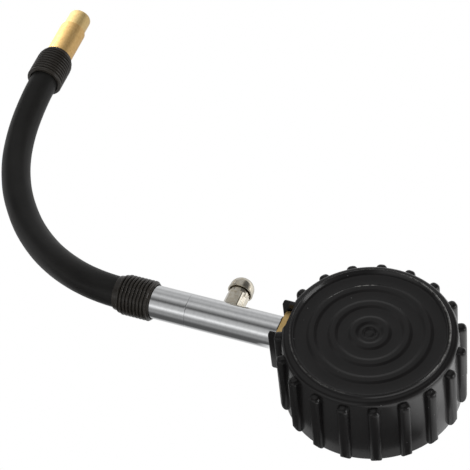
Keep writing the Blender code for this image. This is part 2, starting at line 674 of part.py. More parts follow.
def make_bourdon():
    """Bourdon tube, hollow and open at both ends: one end squares up to the block, the other to the tip."""
    block_side = -BLOCK_W / 2 - GAP
    outer = oval_section(BOURDON_T / 2, BOURDON_H / 2)
    inner = oval_section(BOURDON_T / 2 - BOURDON_WALL, BOURDON_H / 2 - BOURDON_WALL)
    steps = 18
    tube = bmesh.new()

    def stations(section):
        rows = []
        for step in range(steps + 1):
            row = []
            for offset, height in section:
                radius = BOURDON_R + offset
                start = -math.pi - math.asin(block_side / radius)
                angle = start + (math.radians(BOURDON_END_DEG) - start) * step / steps
                spot = (radius * math.cos(angle), radius * math.sin(angle), BOURDON_Z + height)
                row.append(tube.verts.new(spot))
            rows.append(row)
        return rows

    def skin(rows):
        for before, after in zip(rows, rows[1:]):
            for index in range(len(before)):
                beside = (index + 1) % len(before)
                tube.faces.new((before[index], before[beside], after[beside], after[index]))

    outer_rows = stations(outer)
    inner_rows = stations(inner)
    skin(outer_rows)
    skin(inner_rows)
    for end in (0, -1):
        for index in range(len(outer)):
            beside = (index + 1) % len(outer)
            tube.faces.new((outer_rows[end][index], outer_rows[end][beside],
                            inner_rows[end][beside], inner_rows[end][index]))
    make_object("bourdon_tube", tube, "spring_bronze")

    tip_x, tip_y = tip_pin_spot()
    gap_deg = math.degrees(GAP / BOURDON_R)
    low_deg = BOURDON_END_DEG + gap_deg
    high_deg = low_deg + 8.0
    low_z = BOURDON_Z - BOURDON_H / 2
    cap = [polar(BOURDON_R - 1.8, low_deg), polar(BOURDON_R + 1.8, low_deg)]
    cap += [polar(BOURDON_R + 1.8, high_deg), polar(BOURDON_R - 1.8, high_deg)]
    tip = make_object("tube_tip", prism(cap, low_z, low_z + BOURDON_H), "brass")
    lug = hull_outline([(tip_x, tip_y, 1.6), (*polar(BOURDON_R - 1.5, (low_deg + high_deg) / 2), 1.3)])
    fuse(tip, helper("tip_lug_tool", prism(lug, low_z, low_z + 1.8)))
    pin = rod(PIN_R, LINK_Z - 0.5, low_z + 0.5)
    fuse(tip, helper("tip_pin_tool", pin, (tip_x, tip_y, 0.0)))


def make_socket_block():
    half = BLOCK_W / 2
    body = block((BLOCK_OUT_X, -half, BLOCK_Z), (BLOCK_IN_X, half, BLOCK_TOP_Z))
    socket = make_object("socket_block", body, "brass")
    half = SHANK_W / 2
    shank = block((SHANK_END_X, -half, STEM_Z - half), (BLOCK_OUT_X + 2.5, half, STEM_Z + half), 0.5, 1,
                  lambda edge: abs(edge.verts[0].co.x - edge.verts[1].co.x) > 5.0)
    fuse(socket, helper("shank_tool", shank))
    start = (SHANK_END_X, 0.0, STEM_Z)
    deep = SPIGOT_L + GAP * 2
    port_x = -math.sqrt(BOURDON_R ** 2 - half ** 2)
    bore_l = port_x + 3.3 - SHANK_END_X
    bore = [(0.0, -1.0), (SPIGOT_R + GAP, -1.0), (SPIGOT_R + GAP, deep), (PORT_R, deep)]
    bore += [(PORT_R, bore_l), (0.0, bore_l)]
    cut(socket, helper("shank_bore_tool", lathe(bore, STEM_SIDES), start, X_AXIS))
    port = rod(0.9, 0.0, BLOCK_W / 2 + 1.0)
    cut(socket, helper("tube_port_tool", port, (port_x, -BLOCK_W / 2 - 1.0, STEM_Z + 0.5), Y_AXIS))
    for index, spot in enumerate(MOVEMENT_SCREW_SPOTS, start=1):
        hole = rod(SCREW_R + GAP, BLOCK_Z - 1.0, BLOCK_Z + 4.0 + GAP)
        cut(socket, helper(f"block_screw_hole_{index}", hole, (*spot, 0.0)))


def make_stem():
    """Stem tube from the shank to the seam, then the coupling with the hose barb."""
    start_x = SHANK_END_X - GAP
    length = start_x - (SEAM_X + GAP / 2)
    socket_l = SPIGOT_L + GAP * 2
    edge = 0.25
    profile = [(TUBE_BORE_R, -SPIGOT_L), (SPIGOT_R, -SPIGOT_L), (SPIGOT_R, 0.0), (TUBE_R - edge, 0.0)]
    profile += [(TUBE_R, edge), (TUBE_R, length - edge), (TUBE_R - edge, length), (SPIGOT_R + GAP, length)]
    profile += [(SPIGOT_R + GAP, length - socket_l), (TUBE_BORE_R, length - socket_l)]
    stem = make_object("stem_tube", lathe(profile, STEM_SIDES + 4), "polished_metal", (start_x, 0.0, STEM_Z), -X_AXIS)
    hole = rod(VALVE_SPIGOT_R + GAP, 1.5, 9.0)
    cut(stem, helper("valve_hole_tool", hole, (VALVE_X, 0.0, STEM_Z), Y_AXIS))

    start_x = SEAM_X - GAP / 2
    body_l = start_x - NEAR_SLEEVE_X + shoulder_depth(NEAR_SLEEVE_L)
    end = body_l + BARB_L
    profile = [(BARB_BORE_R, -SPIGOT_L), (SPIGOT_R, -SPIGOT_L), (SPIGOT_R, 0.0), (TUBE_R - edge, 0.0)]
    profile += [(TUBE_R, edge), (TUBE_R, body_l)]
    profile += barb_points(body_l, end) + [(BARB_BORE_R, end)]
    make_object("hose_coupling", lathe(profile, STEM_SIDES), "polished_metal", (start_x, 0.0, STEM_Z), -X_AXIS)


def barb_points(low, high):
    """Saw-tooth barbs whose slopes face the high end, where the hose is pushed on."""
    pitch = (high - low - 0.4) / BARB_COUNT
    points = [(BARB_ROOT_R, low), (BARB_ROOT_R, low + 0.4)]
    for index in range(BARB_COUNT):
        foot = low + 0.4 + pitch * index
        points += [(BARB_R, foot + 0.1), (BARB_ROOT_R, foot + pitch - 0.05)]
    return points[:-1] + [(BARB_ROOT_R, high)]


def make_valve():
    spot = (VALVE_X, 0.0, STEM_Z)
    hexagon = circle_points((0.0, 0.0), VALVE_HEX_W / math.sqrt(3.0), 0.0, 360.0, 6)
    body = make_object("valve_body", prism(hexagon, VALVE_BOTTOM_Y, VALVE_HEX_TOP_Y), "nickel_plate", spot, Y_AXIS)
    saddle = rod(TUBE_R + GAP, -10.0, 10.0, STEM_SIDES + 4)
    cut(body, helper("valve_saddle_tool", saddle, spot, X_AXIS))
    fuse(body, helper("valve_spigot_tool", rod(VALVE_SPIGOT_R, VALVE_BOTTOM_Y, VALVE_HEX_TOP_Y - 1.0), spot, Y_AXIS))
    fuse(body, helper("valve_neck_tool", rod(VALVE_NECK_R, VALVE_HEX_TOP_Y - 1.0, VALVE_TOP_Y, STEM_SIDES), spot, Y_AXIS))
    bore = [(0.0, VALVE_BOTTOM_Y - 1.0), (VALVE_SEAT_R, VALVE_BOTTOM_Y - 1.0), (VALVE_SEAT_R, VALVE_FLOOR_Y)]
    bore += [(VALVE_BORE_R, VALVE_FLOOR_Y), (VALVE_BORE_R, VALVE_TOP_Y + 1.0), (0.0, VALVE_TOP_Y + 1.0)]
    cut(body, helper("valve_bore_tool", lathe(bore, SMALL_SIDES), spot, Y_AXIS))

    shell_r = BUTTON_R - BUTTON_SHELL
    roof_y = BUTTON_TOP_Y - 3.6
    dome_foot = BUTTON_RIM_Y + 2.2
    post_r = VALVE_BORE_R - GAP
    stem_r = 0.7
    profile = [(0.0, BUTTON_POST_Y + 4.6), (stem_r + GAP, BUTTON_POST_Y + 4.6), (stem_r + GAP, BUTTON_POST_Y)]
    profile += [(post_r, BUTTON_POST_Y), (post_r, roof_y), (shell_r - 0.6, roof_y), (shell_r, roof_y - 1.0)]
    profile += [(shell_r, BUTTON_RIM_Y), (BUTTON_R - 0.15, BUTTON_RIM_Y), (BUTTON_R, BUTTON_RIM_Y + 0.3)]
    profile += [(BUTTON_R - 0.2, dome_foot)]
    dome_steps = 5
    for step in range(1, dome_steps):
        angle = math.pi / 2 * step / dome_steps
        height = dome_foot + (BUTTON_TOP_Y - dome_foot) * math.sin(angle)
        profile.append(((BUTTON_R - 0.2) * math.cos(angle), height))
    profile.append((0.0, BUTTON_TOP_Y))
    make_object("valve_button", lathe(profile, STEM_SIDES), "nickel_plate", spot, Y_AXIS)

    disc_r = 1.8
    washer_high = VALVE_BOTTOM_Y - GAP
    washer_low = washer_high - 0.8
    disc_high = washer_low - GAP
    disc_low = disc_high - 0.8
    profile = [(0.0, disc_low), (disc_r, disc_low), (disc_r, disc_high), (stem_r, disc_high)]
    profile += [(stem_r, BUTTON_POST_Y + 4.3), (0.0, BUTTON_POST_Y + 4.3)]
    make_object("valve_stem", lathe(profile, SMALL_SIDES), "brass", spot, Y_AXIS)
    washer = [(stem_r + GAP, washer_low), (disc_r, washer_low), (disc_r, washer_high), (stem_r + GAP, washer_high)]
    make_object("valve_seal", lathe(washer, SMALL_SIDES), "seal_rubber", spot, Y_AXIS)

    coil_r = 1.6
    low = VALVE_FLOOR_Y + GAP + SPRING_WIRE_R
    high = BUTTON_POST_Y - GAP - SPRING_WIRE_R
    steps = 8
    total = int(SPRING_TURNS * steps)
    points = []
    for step in range(total + 1):
        x, z = polar(coil_r, 360.0 * step / steps)
        points.append(Vector((VALVE_X + x, low + (high - low) * step / total, STEM_Z + z)))
    make_tube("valve_spring", points, SPRING_WIRE_R, 1, "spring_bronze")


def make_tube(name, points, radius, resolution, finish):
    """Round rod along points, as a curve with a bevel and closed ends."""
    curve = bpy.data.curves.new(name, "CURVE")
    curve.dimensions = "3D"
    curve.bevel_depth = radius * MM
    curve.bevel_resolution = resolution
    curve.use_fill_caps = True
    spline = curve.splines.new("POLY")
    spline.points.add(len(points) - 1)
    for target, point in zip(spline.points, points):
        target.co = (*(point * MM), 1.0)
    curve.materials.append(material(finish))
    thing = bpy.data.objects.new(name, curve)
    bpy.context.scene.collection.objects.link(thing)
    return thing


def smooth_route(points, step):
    """Return points about one step apart along a Catmull-Rom curve through the given ones."""
    fine = []
    padded = [points[0] * 2 - points[1]] + points + [points[-1] * 2 - points[-2]]
    per_span = 12
    for index in range(1, len(padded) - 2):
        before, start, end, after = padded[index - 1:index + 3]
        for part in range(per_span):
            t = part / per_span
            spot = start * 2 + (end - before) * t
            spot += (before * 2 - start * 5 + end * 4 - after) * t ** 2
            spot += (start * 3 - before - end * 3 + after) * t ** 3
            fine.append(spot / 2)
    fine.append(points[-1])
    lengths = [0.0]
    for before, after in zip(fine, fine[1:]):
        lengths.append(lengths[-1] + (after - before).length)
    count = max(2, round(lengths[-1] / step))
    chosen = []
    index = 0
    for mark in range(count + 1):
        target = lengths[-1] * mark / count
        while index < len(fine) - 2 and lengths[index + 1] < target:
            index += 1
        share = (target - lengths[index]) / (lengths[index + 1] - lengths[index])
        chosen.append(fine[index].lerp(fine[index + 1], share))
    return chosen


def shoulder_depth(sleeve_l):
    """Depth inside a sleeve, from its metal side, where the metal piece steps down to its barb."""
    return sleeve_l - HOSE_IN_SLEEVE - GAP - BARB_L


def sleeve_profile(outer_r, length, metal_r, rim_first):
    """Ribbed sleeve from its metal side. It grips the metal piece, clears the barb and takes the hose."""
    root_r = outer_r - SLEEVE_RING_DEPTH
    thin_r = (HOSE_R if rim_first else metal_r) + GAP + 0.4

    def tapered(radius, along):
        """The ringed end of a sleeve narrows towards its mouth."""
        from_mouth = length - along if rim_first else along
        return max(radius - SLEEVE_TAPER * max(0.0, 1.0 - from_mouth / SLEEVE_TAPER_L), thin_r)

    smooth_l = length - SLEEVE_RINGS * SLEEVE_RING_PITCH - 0.8
    ring_start = smooth_l if rim_first else 0.8
    profile = [(metal_r + GAP, 0.0)]
    if rim_first:
        profile += [(outer_r - 0.5, 0.0), (outer_r, 0.6), (outer_r, smooth_l - 1.2), (root_r, smooth_l - 0.5)]
    else:
        profile += [(thin_r - 0.1, 0.0), (thin_r, 0.4)]
    for index in range(SLEEVE_RINGS):
        low = ring_start + SLEEVE_RING_PITCH * index
        middle = low + SLEEVE_RING_PITCH / 2
        profile += [(tapered(root_r, low), low), (tapered(outer_r, middle), middle)]
    if rim_first:
        profile += [(thin_r, length - 0.4), (thin_r - 0.1, length)]
    else:
        profile += [(root_r, length - smooth_l + 0.6), (outer_r, length - smooth_l + 1.3)]
        profile += [(outer_r, length - 0.6), (outer_r - 0.4, length)]
    hose_start = length - HOSE_IN_SLEEVE - GAP
    step = shoulder_depth(length) + GAP
    profile += [(HOSE_R + GAP + 0.25, length), (HOSE_R + GAP, length - 2.0), (HOSE_R + GAP, hose_start)]
    profile += [(BARB_R + GAP, hose_start)]
    profile += [(BARB_R + GAP, step), (metal_r + GAP, step)]
    return profile


def make_hose():
    route = [NEAR_HOSE_END] + [Vector(point) for point in HOSE_ROUTE]
    route += [CHUCK_START + CHUCK_AXIS * 3.0, FAR_HOSE_END]
    make_tube("hose", smooth_route(route, HOSE_POINT_STEP), HOSE_R, 4, "black_rubber")
    near = sleeve_profile(NEAR_SLEEVE_R, NEAR_SLEEVE_L, TUBE_R, True)
    make_object("near_sleeve", lathe(near, STEM_SIDES), "black_rubber", (NEAR_SLEEVE_X, 0.0, STEM_Z), -X_AXIS)
    far = sleeve_profile(FAR_SLEEVE_R, FAR_SLEEVE_L, CHUCK_R, False)
    mouth = CHUCK_START + CHUCK_AXIS * FAR_SLEEVE_L
    make_object("far_sleeve", lathe(far, STEM_SIDES), "black_rubber", mouth, -CHUCK_AXIS)


def make_chuck():
    """Brass body with the hose barb, and the nose that takes a tyre valve, with its seal and pin."""
    barb_low = HOSE_IN_SLEEVE + GAP
    barb_high = barb_low + BARB_L
    air_r = 2.0
    socket_r = NOSE_R - 0.85
    socket_low = 28.0
    edge = 0.4
    barbs = [(radius, barb_high + barb_low - height) for radius, height in barb_points(barb_low, barb_high)]
    profile = [(air_r, barb_low)] + barbs[::-1]
    profile += [(CHUCK_R, barb_high), (CHUCK_R, CHUCK_STEP - edge), (CHUCK_R - edge, CHUCK_STEP)]
    profile += [(socket_r, CHUCK_STEP), (socket_r, socket_low), (air_r, socket_low)]
    make_object("chuck_body", lathe(profile, STEM_SIDES), "brass", CHUCK_START, CHUCK_AXIS)

    tail_r = socket_r - GAP
    floor = 31.4
    hole_r = VALVE_HOLE_R
    wide_r = tail_r - 0.7
    profile = [(air_r, socket_low + GAP), (tail_r, socket_low + GAP), (tail_r, CHUCK_STEP + GAP)]
    profile += [(NOSE_R, CHUCK_STEP + GAP), (NOSE_R, NOSE_END - 1.1), (NOSE_R - 0.35, NOSE_END - 0.35)]
    profile += [(NOSE_R - 0.9, NOSE_END), (hole_r + 0.2, NOSE_END), (hole_r, NOSE_END - 0.4)]
    profile += [(hole_r, CHUCK_STEP + 0.8), (wide_r, CHUCK_STEP + 0.2), (wide_r, floor), (air_r, floor)]
    make_object("chuck_nose", lathe(profile, STEM_SIDES), "brass", CHUCK_START, CHUCK_AXIS)

    plate_low = floor + GAP
    plate_high = plate_low + 1.0
    pin_r = 0.8
    plate_r = wide_r - GAP
    outline = []
    for index in range(3):
        outline += circle_points((0.0, 0.0), plate_r, 120.0 * index + 20.0, 120.0 * index + 100.0, 4)
        outline += circle_points((0.0, 0.0), 1.7, 120.0 * index + 105.0, 120.0 * index + 135.0, 2)
    pin = make_object("depressor_pin", prism(outline, plate_low, plate_high), "brass", CHUCK_START, CHUCK_AXIS)
    fuse(pin, helper("depressor_tool", rod(pin_r, plate_low + 0.2, CHUCK_STEP + 3.5), CHUCK_START, CHUCK_AXIS))
    seal_low = plate_high + GAP
    seal_high = CHUCK_STEP - 0.3
    seal = [(pin_r + GAP + 0.3, seal_low), (wide_r - GAP, seal_low), (wide_r - GAP, seal_high)]
    seal += [(pin_r + GAP + 0.3, seal_high)]
    make_object("chuck_seal", lathe(seal, SMALL_SIDES), "seal_rubber", CHUCK_START, CHUCK_AXIS)


clear_scene()
make_boot()
make_case()
make_dial()
make_plates()
make_sector()
make_pinion()
make_link()
make_bourdon()
make_socket_block()
make_stem()
make_valve()
make_hose()
make_chuck()
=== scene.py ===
# %% [markdown]
# This lesson dresses a dial tyre gauge. The measured solids come in first and stay where they are. Each piece
# that shows is then modelled again with finer edges, or kept and given a finish, and the last cells hang
# every piece on the body that carries it. All lengths below are written in millimetres and multiplied by MM.

# %% Load the measured solids
import math

import bpy
from mathutils import Matrix, Vector


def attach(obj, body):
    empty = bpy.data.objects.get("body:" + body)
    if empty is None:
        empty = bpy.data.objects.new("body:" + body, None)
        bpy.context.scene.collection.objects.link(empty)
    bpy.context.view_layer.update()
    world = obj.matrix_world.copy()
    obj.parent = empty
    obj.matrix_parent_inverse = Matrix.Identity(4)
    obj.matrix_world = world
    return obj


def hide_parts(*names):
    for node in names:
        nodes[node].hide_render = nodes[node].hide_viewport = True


MM = 0.001
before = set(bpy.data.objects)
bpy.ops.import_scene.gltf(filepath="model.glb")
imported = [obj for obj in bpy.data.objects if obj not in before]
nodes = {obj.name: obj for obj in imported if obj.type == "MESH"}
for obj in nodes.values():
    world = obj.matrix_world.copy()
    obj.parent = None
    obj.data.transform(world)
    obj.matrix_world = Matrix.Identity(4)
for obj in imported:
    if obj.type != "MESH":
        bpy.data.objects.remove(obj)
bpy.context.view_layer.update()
print("solids loaded:", len(nodes))

# %% [markdown]
# The camera comes first, because every later choice is judged through it. The gauge was photographed from a
# steep angle with a long lens, so the camera stands 0.75 m away, 48 degrees above the table, and is rolled a
# little, as a camera held in the hand is.

# %% Place the camera
AZIMUTH = math.radians(28.11)
ELEVATION = math.radians(47.997)
ROLL = math.radians(-8.338)
DISTANCE = 750.0 * MM
LOOK_AT = Vector((-84.50, 59.03, 0.0)) * MM
LENS = 129.58
SENSOR = 36.0


def place_camera():
    toward = Vector((math.sin(AZIMUTH) * math.cos(ELEVATION),
                     -math.cos(AZIMUTH) * math.cos(ELEVATION),
                     math.sin(ELEVATION)))
    level = Vector((math.cos(AZIMUTH), math.sin(AZIMUTH), 0.0))
    upright = toward.cross(level)
    across = math.cos(ROLL) * level + math.sin(ROLL) * upright
    upward = math.cos(ROLL) * upright - math.sin(ROLL) * level
    lens = bpy.data.cameras.new("camera")
    lens.lens = LENS
    lens.sensor_width = SENSOR
    camera = bpy.data.objects.new("camera", lens)
    bpy.context.scene.collection.objects.link(camera)
    turn = Matrix((across, upward, toward)).transposed().to_4x4()
    camera.matrix_world = Matrix.Translation(LOOK_AT + toward * DISTANCE) @ turn
    bpy.context.scene.camera = camera
    return camera


camera = place_camera()
print("camera height in mm:", round(camera.location.z / MM))

# %% [markdown]
# Materials are small trees of nodes, and the same few nodes come back in all of them. These helpers add one
# node each and hand back what comes out of it: a sum, a vector sum, the larger of two values, an even ramp,
# and a mix of two shaders. With them a material reads almost like a formula.

# %% Tools for nodes
def link(tree, output, socket):
    tree.links.new(output, socket)


def feed(tree, sockets, values):
    """Give each socket its value, which is another node's output, a number or a vector."""
    for socket, value in zip(sockets, values):
        if isinstance(value, bpy.types.NodeSocket):
            link(tree, value, socket)
        else:
            socket.default_value = value


def calculated(tree, operation, *values):
    """What one sum gives."""
    node = tree.nodes.new("ShaderNodeMath")
    node.operation = operation
    feed(tree, node.inputs, values)
    return node.outputs[0]


def vector_node(tree, operation, *values):
    """The node itself, since some operations give a vector and others a number."""
    node = tree.nodes.new("ShaderNodeVectorMath")
    node.operation = operation
    feed(tree, node.inputs, values)
    return node


def either_of(tree, first, second):
    return calculated(tree, "MAXIMUM", first, second)


def ramp_between(tree, value, start, end, start_level, end_level):
    """A level that changes evenly while a value goes from start to end."""
    ramp = tree.nodes.new("ShaderNodeMapRange")
    feed(tree, ramp.inputs, (value, start, end, start_level, end_level))
    return ramp.outputs["Result"]


def mixed_shaders(tree, share, first, second):
    mix = tree.nodes.new("ShaderNodeMixShader")
    feed(tree, mix.inputs, (share, first, second))
    return mix.outputs[0]


def plain_light(tree, kind):
    """An Emission or Background node that gives even white light."""
    node = tree.nodes.new(kind)
    feed(tree, (node.inputs["Color"], node.inputs["Strength"]), ((1.0, 1.0, 1.0, 1.0), 1.0))
    return node


print("tools for nodes ready")

# %% [markdown]
# The studio is a white sheet of paper on a table. To rays that come straight from the camera, or through the
# gauge's lens, it is plain white, as the overexposed paper of the picture is, and any other ray that spreads
# from it finds a matt pale sheet. What bright metal and satin rubber mirror of it is painted apart: a glowing
# sheet of painted shade, dark as the shade of cards and of the gauge itself would be, with painted lighter
# patches where the picture's bands ask for them. One starts under the stem, one lies far in front, one on the
# right shows as painted light on the wall between the ribs, one rings the boot's foot, and one lies beside the
# collar.

# %% Lay the paper
# The paper as bright surfaces mirror it: painted shade at DARK, and painted lighter patches over it.
DARK = 0.10
PATCHES = (
    ("Y", -0.014, -0.006, DARK, 0.64),  # from under the stem to the back
    ("Y", -0.035, -0.070, DARK, 0.30),  # far in front
    ("X", 0.034, 0.053, DARK, 1.70),  # on the right
    ("reach", 0.0385, 0.0400, 0.48, DARK),  # round the boot's foot
)
COLLAR_PATCH = (-0.053, -0.045, DARK, 1.00), (-0.024, -0.019)


def mirrored_level(tree):
    """How bright the paper's painted reflection is to a mirror, from its own coordinates in metres."""
    place = tree.nodes.new("ShaderNodeTexCoord").outputs["Object"]
    split = tree.nodes.new("ShaderNodeSeparateXYZ")
    link(tree, place, split.inputs[0])
    measure = {"X": split.outputs["X"], "Y": split.outputs["Y"],
               "reach": vector_node(tree, "LENGTH", place).outputs["Value"]}
    brightest = ramp_between(tree, measure["X"], *COLLAR_PATCH[0])
    level = ramp_between(tree, measure["Y"], *COLLAR_PATCH[1], DARK, brightest)
    for which, *ends in PATCHES:
        level = either_of(tree, level, ramp_between(tree, measure[which], *ends))
    return level


def build_paper():
    bpy.ops.object.select_all(action="DESELECT")
    bpy.ops.mesh.primitive_plane_add(size=1.3, location=(-0.05, 0.05, 0.0))
    paper = bpy.context.object
    bpy.ops.object.transform_apply(location=True, rotation=True, scale=True)
    paper.name = "paper_sheet"
    finish = bpy.data.materials.new("white_paper")
    finish.use_nodes = True
    tree = finish.node_tree
    tree.nodes.clear()
    matt = tree.nodes.new("ShaderNodeBsdfDiffuse")
    matt.inputs["Color"].default_value = (0.86, 0.86, 0.86, 1.0)
    glow = plain_light(tree, "ShaderNodeEmission")
    # This glowing sheet is seen only by glossy rays: a painted reflection of shade and lighter patches.
    mirrored = plain_light(tree, "ShaderNodeEmission")
    link(tree, mirrored_level(tree), mirrored.inputs["Strength"])
    rays = tree.nodes.new("ShaderNodeLightPath").outputs
    seen = either_of(tree, rays["Is Camera Ray"], rays["Is Transmission Ray"])
    sheet = mixed_shaders(tree, seen, matt.outputs[0], glow.outputs[0])
    sheet = mixed_shaders(tree, rays["Is Glossy Ray"], sheet, mirrored.outputs[0])
    link(tree, sheet, tree.nodes.new("ShaderNodeOutputMaterial").inputs["Surface"])
    paper.data.materials.append(finish)
    return paper


paper = build_paper()
print("paper laid:", [round(side, 2) for side in paper.dimensions[:2]], "m")

# %% [markdown]
# The sky is what the bright stem mirrors, so it is drawn by what the stem shows. Its grey follows the angle
# that runs from the horizon behind, over the top, to the one in front: bright behind, a middling grey with
# two soft bands overhead, a dark band where the camera and its holder stood, and bright again low in front.
# Chrome with nothing dark to mirror would look like paper. Away from the horizon and from the arch that the
# stem mirrors, the sky is dimmed to a quarter, so that it doesn't wash out the rubber. To the camera itself
# it is white.

# %% Draw the sky
FULL_TURN = 2.0 * math.pi
SKY_DIMMED = 0.25
SKY_BEHIND = Vector((math.cos(math.radians(112.0)), math.sin(math.radians(112.0)), 0.0))
SKY_STOPS = (
    (0, 0.75), (25, 0.45), (40, 0.52), (56, 0.36), (73, 0.62), (88, 0.32),
    (103, 0.07), (118, 0.45), (136, 0.55), (153, 1.05), (169, 0.50), (180, 0.30),
)


def build_sky():
    sky = bpy.data.worlds.new("studio_sky")
    bpy.context.scene.world = sky
    sky.use_nodes = True
    tree = sky.node_tree
    tree.nodes.clear()
    direction = tree.nodes.new("ShaderNodeTexCoord").outputs["Generated"]
    split = tree.nodes.new("ShaderNodeSeparateXYZ")
    link(tree, direction, split.inputs[0])
    behind = vector_node(tree, "DOT_PRODUCT", direction, SKY_BEHIND).outputs["Value"]
    angle = calculated(tree, "ARCTAN2", split.outputs["Z"], behind)
    around = calculated(tree, "WRAP", calculated(tree, "ADD", angle, math.pi / 2.0), FULL_TURN, 0.0)
    ramp = tree.nodes.new("ShaderNodeValToRGB")
    elements = ramp.color_ramp.elements
    while len(elements) < len(SKY_STOPS):
        elements.new(0.5)
    for element, (degrees, level) in zip(elements, SKY_STOPS):
        element.position = (degrees + 90.0) / 360.0
        element.color = (level, level, level, 1.0)
    link(tree, calculated(tree, "DIVIDE", around, FULL_TURN), ramp.inputs["Fac"])
    off_arch = calculated(tree, "ABSOLUTE", calculated(tree, "ADD", split.outputs["X"], 0.3))
    lit = plain_light(tree, "ShaderNodeBackground")
    link(tree, either_of(tree, ramp_between(tree, off_arch, 0.30, 0.50, 1.0, SKY_DIMMED),
                         ramp_between(tree, split.outputs["Z"], 0.15, 0.30, 1.0, SKY_DIMMED)),
         lit.inputs["Strength"])
    link(tree, ramp.outputs["Color"], lit.inputs["Color"])
    white = plain_light(tree, "ShaderNodeBackground")
    rays = tree.nodes.new("ShaderNodeLightPath").outputs
    seen = either_of(tree, rays["Is Camera Ray"], rays["Is Transmission Ray"])
    link(tree, mixed_shaders(tree, seen, lit.outputs[0], white.outputs[0]),
         tree.nodes.new("ShaderNodeOutputWorld").inputs["Surface"])


build_sky()
bpy.context.scene.view_settings.view_transform = "Standard"
print("sky drawn with", len(SKY_STOPS), "stops")

# %% [markdown]
# A softbox adds the sparkle. It stands far off on the right and draws the thin bright line on the boot's rim
# and on the collar. It is placed by its compass angle, its height angle and its distance, as on a real stand.
# The chuck gets a small one of its own further on, once the chuck is there.

# %% Hang the side softbox
def softbox(name, spot, aim, width, depth, power):
    lamp = bpy.data.lights.new(name, "AREA")
    lamp.shape = "RECTANGLE"
    lamp.size = width
    lamp.size_y = depth
    lamp.energy = power
    holder = bpy.data.objects.new(name, lamp)
    bpy.context.scene.collection.objects.link(holder)
    holder.location = spot
    holder.rotation_mode = "QUATERNION"
    holder.rotation_quaternion = (Vector(spot) - Vector(aim)).to_track_quat("Z", "Y")
    return holder


def far_spot(azimuth_deg, elevation_deg, distance):
    """A point at a compass angle, a height angle and a distance from the gauge."""
    azimuth, elevation = math.radians(azimuth_deg), math.radians(elevation_deg)
    flat = distance * math.cos(elevation)
    return (flat * math.cos(azimuth), flat * math.sin(azimuth), distance * math.sin(elevation))


side_lamp = softbox("side_softbox", far_spot(5.0, 22.0, 1.0), (0.0, 0.0, 0.02), 0.5, 0.4, 2.2)
print("side softbox at", [round(part, 2) for part in side_lamp.location], "m")

# %% [markdown]
# Most of a gauge is turned or moulded round, so one helper does most of the modelling. It starts from a
# plane, merges it to a single vertex, draws the section by extruding that vertex from point to point, and
# spins the section round the axis, as a lathe does. A section that ends where it began gives a ring.

# %% Tools for turned pieces
def start_clean():
    active = bpy.context.view_layer.objects.active
    if active and active.mode != "OBJECT":
        bpy.ops.object.mode_set(mode="OBJECT")
    bpy.ops.object.select_all(action="DESELECT")


def pick_only(piece):
    start_clean()
    piece.select_set(True)
    bpy.context.view_layer.objects.active = piece


def settle(piece, spot, along):
    """Turn the piece's own +Z to the given direction, move it to its place and keep that in its mesh."""
    pick_only(piece)
    turn = Vector((0.0, 0.0, 1.0)).rotation_difference(Vector(along)).to_matrix().to_4x4()
    piece.matrix_world = Matrix.Translation(Vector(spot) * MM) @ turn
    bpy.ops.object.transform_apply(location=True, rotation=True, scale=True)
    return piece


def close_doubles():
    bpy.ops.mesh.select_all(action="SELECT")
    bpy.ops.mesh.remove_doubles(threshold=0.001 * MM)
    bpy.ops.mesh.select_all(action="SELECT")


def draw_section(name, section, start_deg=0.0):
    """Draw (radius, height) points as a chain of edges in a new piece, and stay in edit mode."""
    start_clean()
    bpy.ops.mesh.primitive_plane_add(size=MM, location=(0.0, 0.0, 0.0))
    piece = bpy.context.object
    piece.name = name
    bpy.ops.object.mode_set(mode="EDIT")
    bpy.ops.mesh.select_mode(type="VERT")
    bpy.ops.mesh.select_all(action="SELECT")
    bpy.ops.mesh.merge(type="CENTER")
    facing = Matrix.Rotation(math.radians(start_deg), 3, "Z")
    points = [facing @ (Vector((radius, 0.0, height)) * MM) for radius, height in section]
    bpy.ops.transform.translate(value=points[0])
    for before, after in zip(points, points[1:]):
        bpy.ops.mesh.extrude_region_move(TRANSFORM_OT_translate={"value": after - before})
    close_doubles()
    return piece


def spin_section(steps, angle):
    """Spin what is selected round +Z, and leave edit mode with all faces pointing out."""
    bpy.ops.mesh.spin(steps=steps, angle=angle, center=(0.0, 0.0, 0.0), axis=(0.0, 0.0, 1.0))
    close_doubles()
    bpy.ops.mesh.normals_make_consistent(inside=False)
    bpy.ops.object.mode_set(mode="OBJECT")


def turned(name, section, steps, spot=(0.0, 0.0, 0.0), along=(0.0, 0.0, 1.0)):
    """Spin a section of (radius, height) points round +Z and settle the piece in its place."""
    piece = draw_section(name, section)
    spin_section(steps, FULL_TURN)
    return settle(piece, spot, along)


def copied(piece):
    twin = piece.copy()
    twin.data = piece.data.copy()
    bpy.context.scene.collection.objects.link(twin)
    return twin


def joined(piece, others):
    """Join the other pieces to the first, once each has its place in its mesh."""
    pick_only(piece)
    for other in others:
        other.select_set(True)
    bpy.ops.object.transform_apply(location=True, rotation=True, scale=True)
    bpy.ops.object.join()
    return piece


def paint(finish, *pieces):
    """Give the pieces one finish, in place of any that a tool left on them."""
    for piece in pieces:
        piece.data.materials.clear()
        piece.data.materials.append(finish)


def choose_edges(piece, test):
    """Select the edges whose two ends, in millimetres, pass the test, and stay in edit mode."""
    pick_only(piece)
    bpy.ops.object.mode_set(mode="EDIT")
    bpy.ops.mesh.select_mode(type="EDGE")
    bpy.ops.mesh.select_all(action="DESELECT")
    bpy.ops.object.mode_set(mode="OBJECT")
    for edge in piece.data.edges:
        edge.select = test(*(piece.data.vertices[index].co / MM for index in edge.vertices))
    bpy.ops.object.mode_set(mode="EDIT")


def smooth(piece, angle=35.0):
    pick_only(piece)
    bpy.ops.object.shade_smooth_by_angle(angle=math.radians(angle))
    return piece


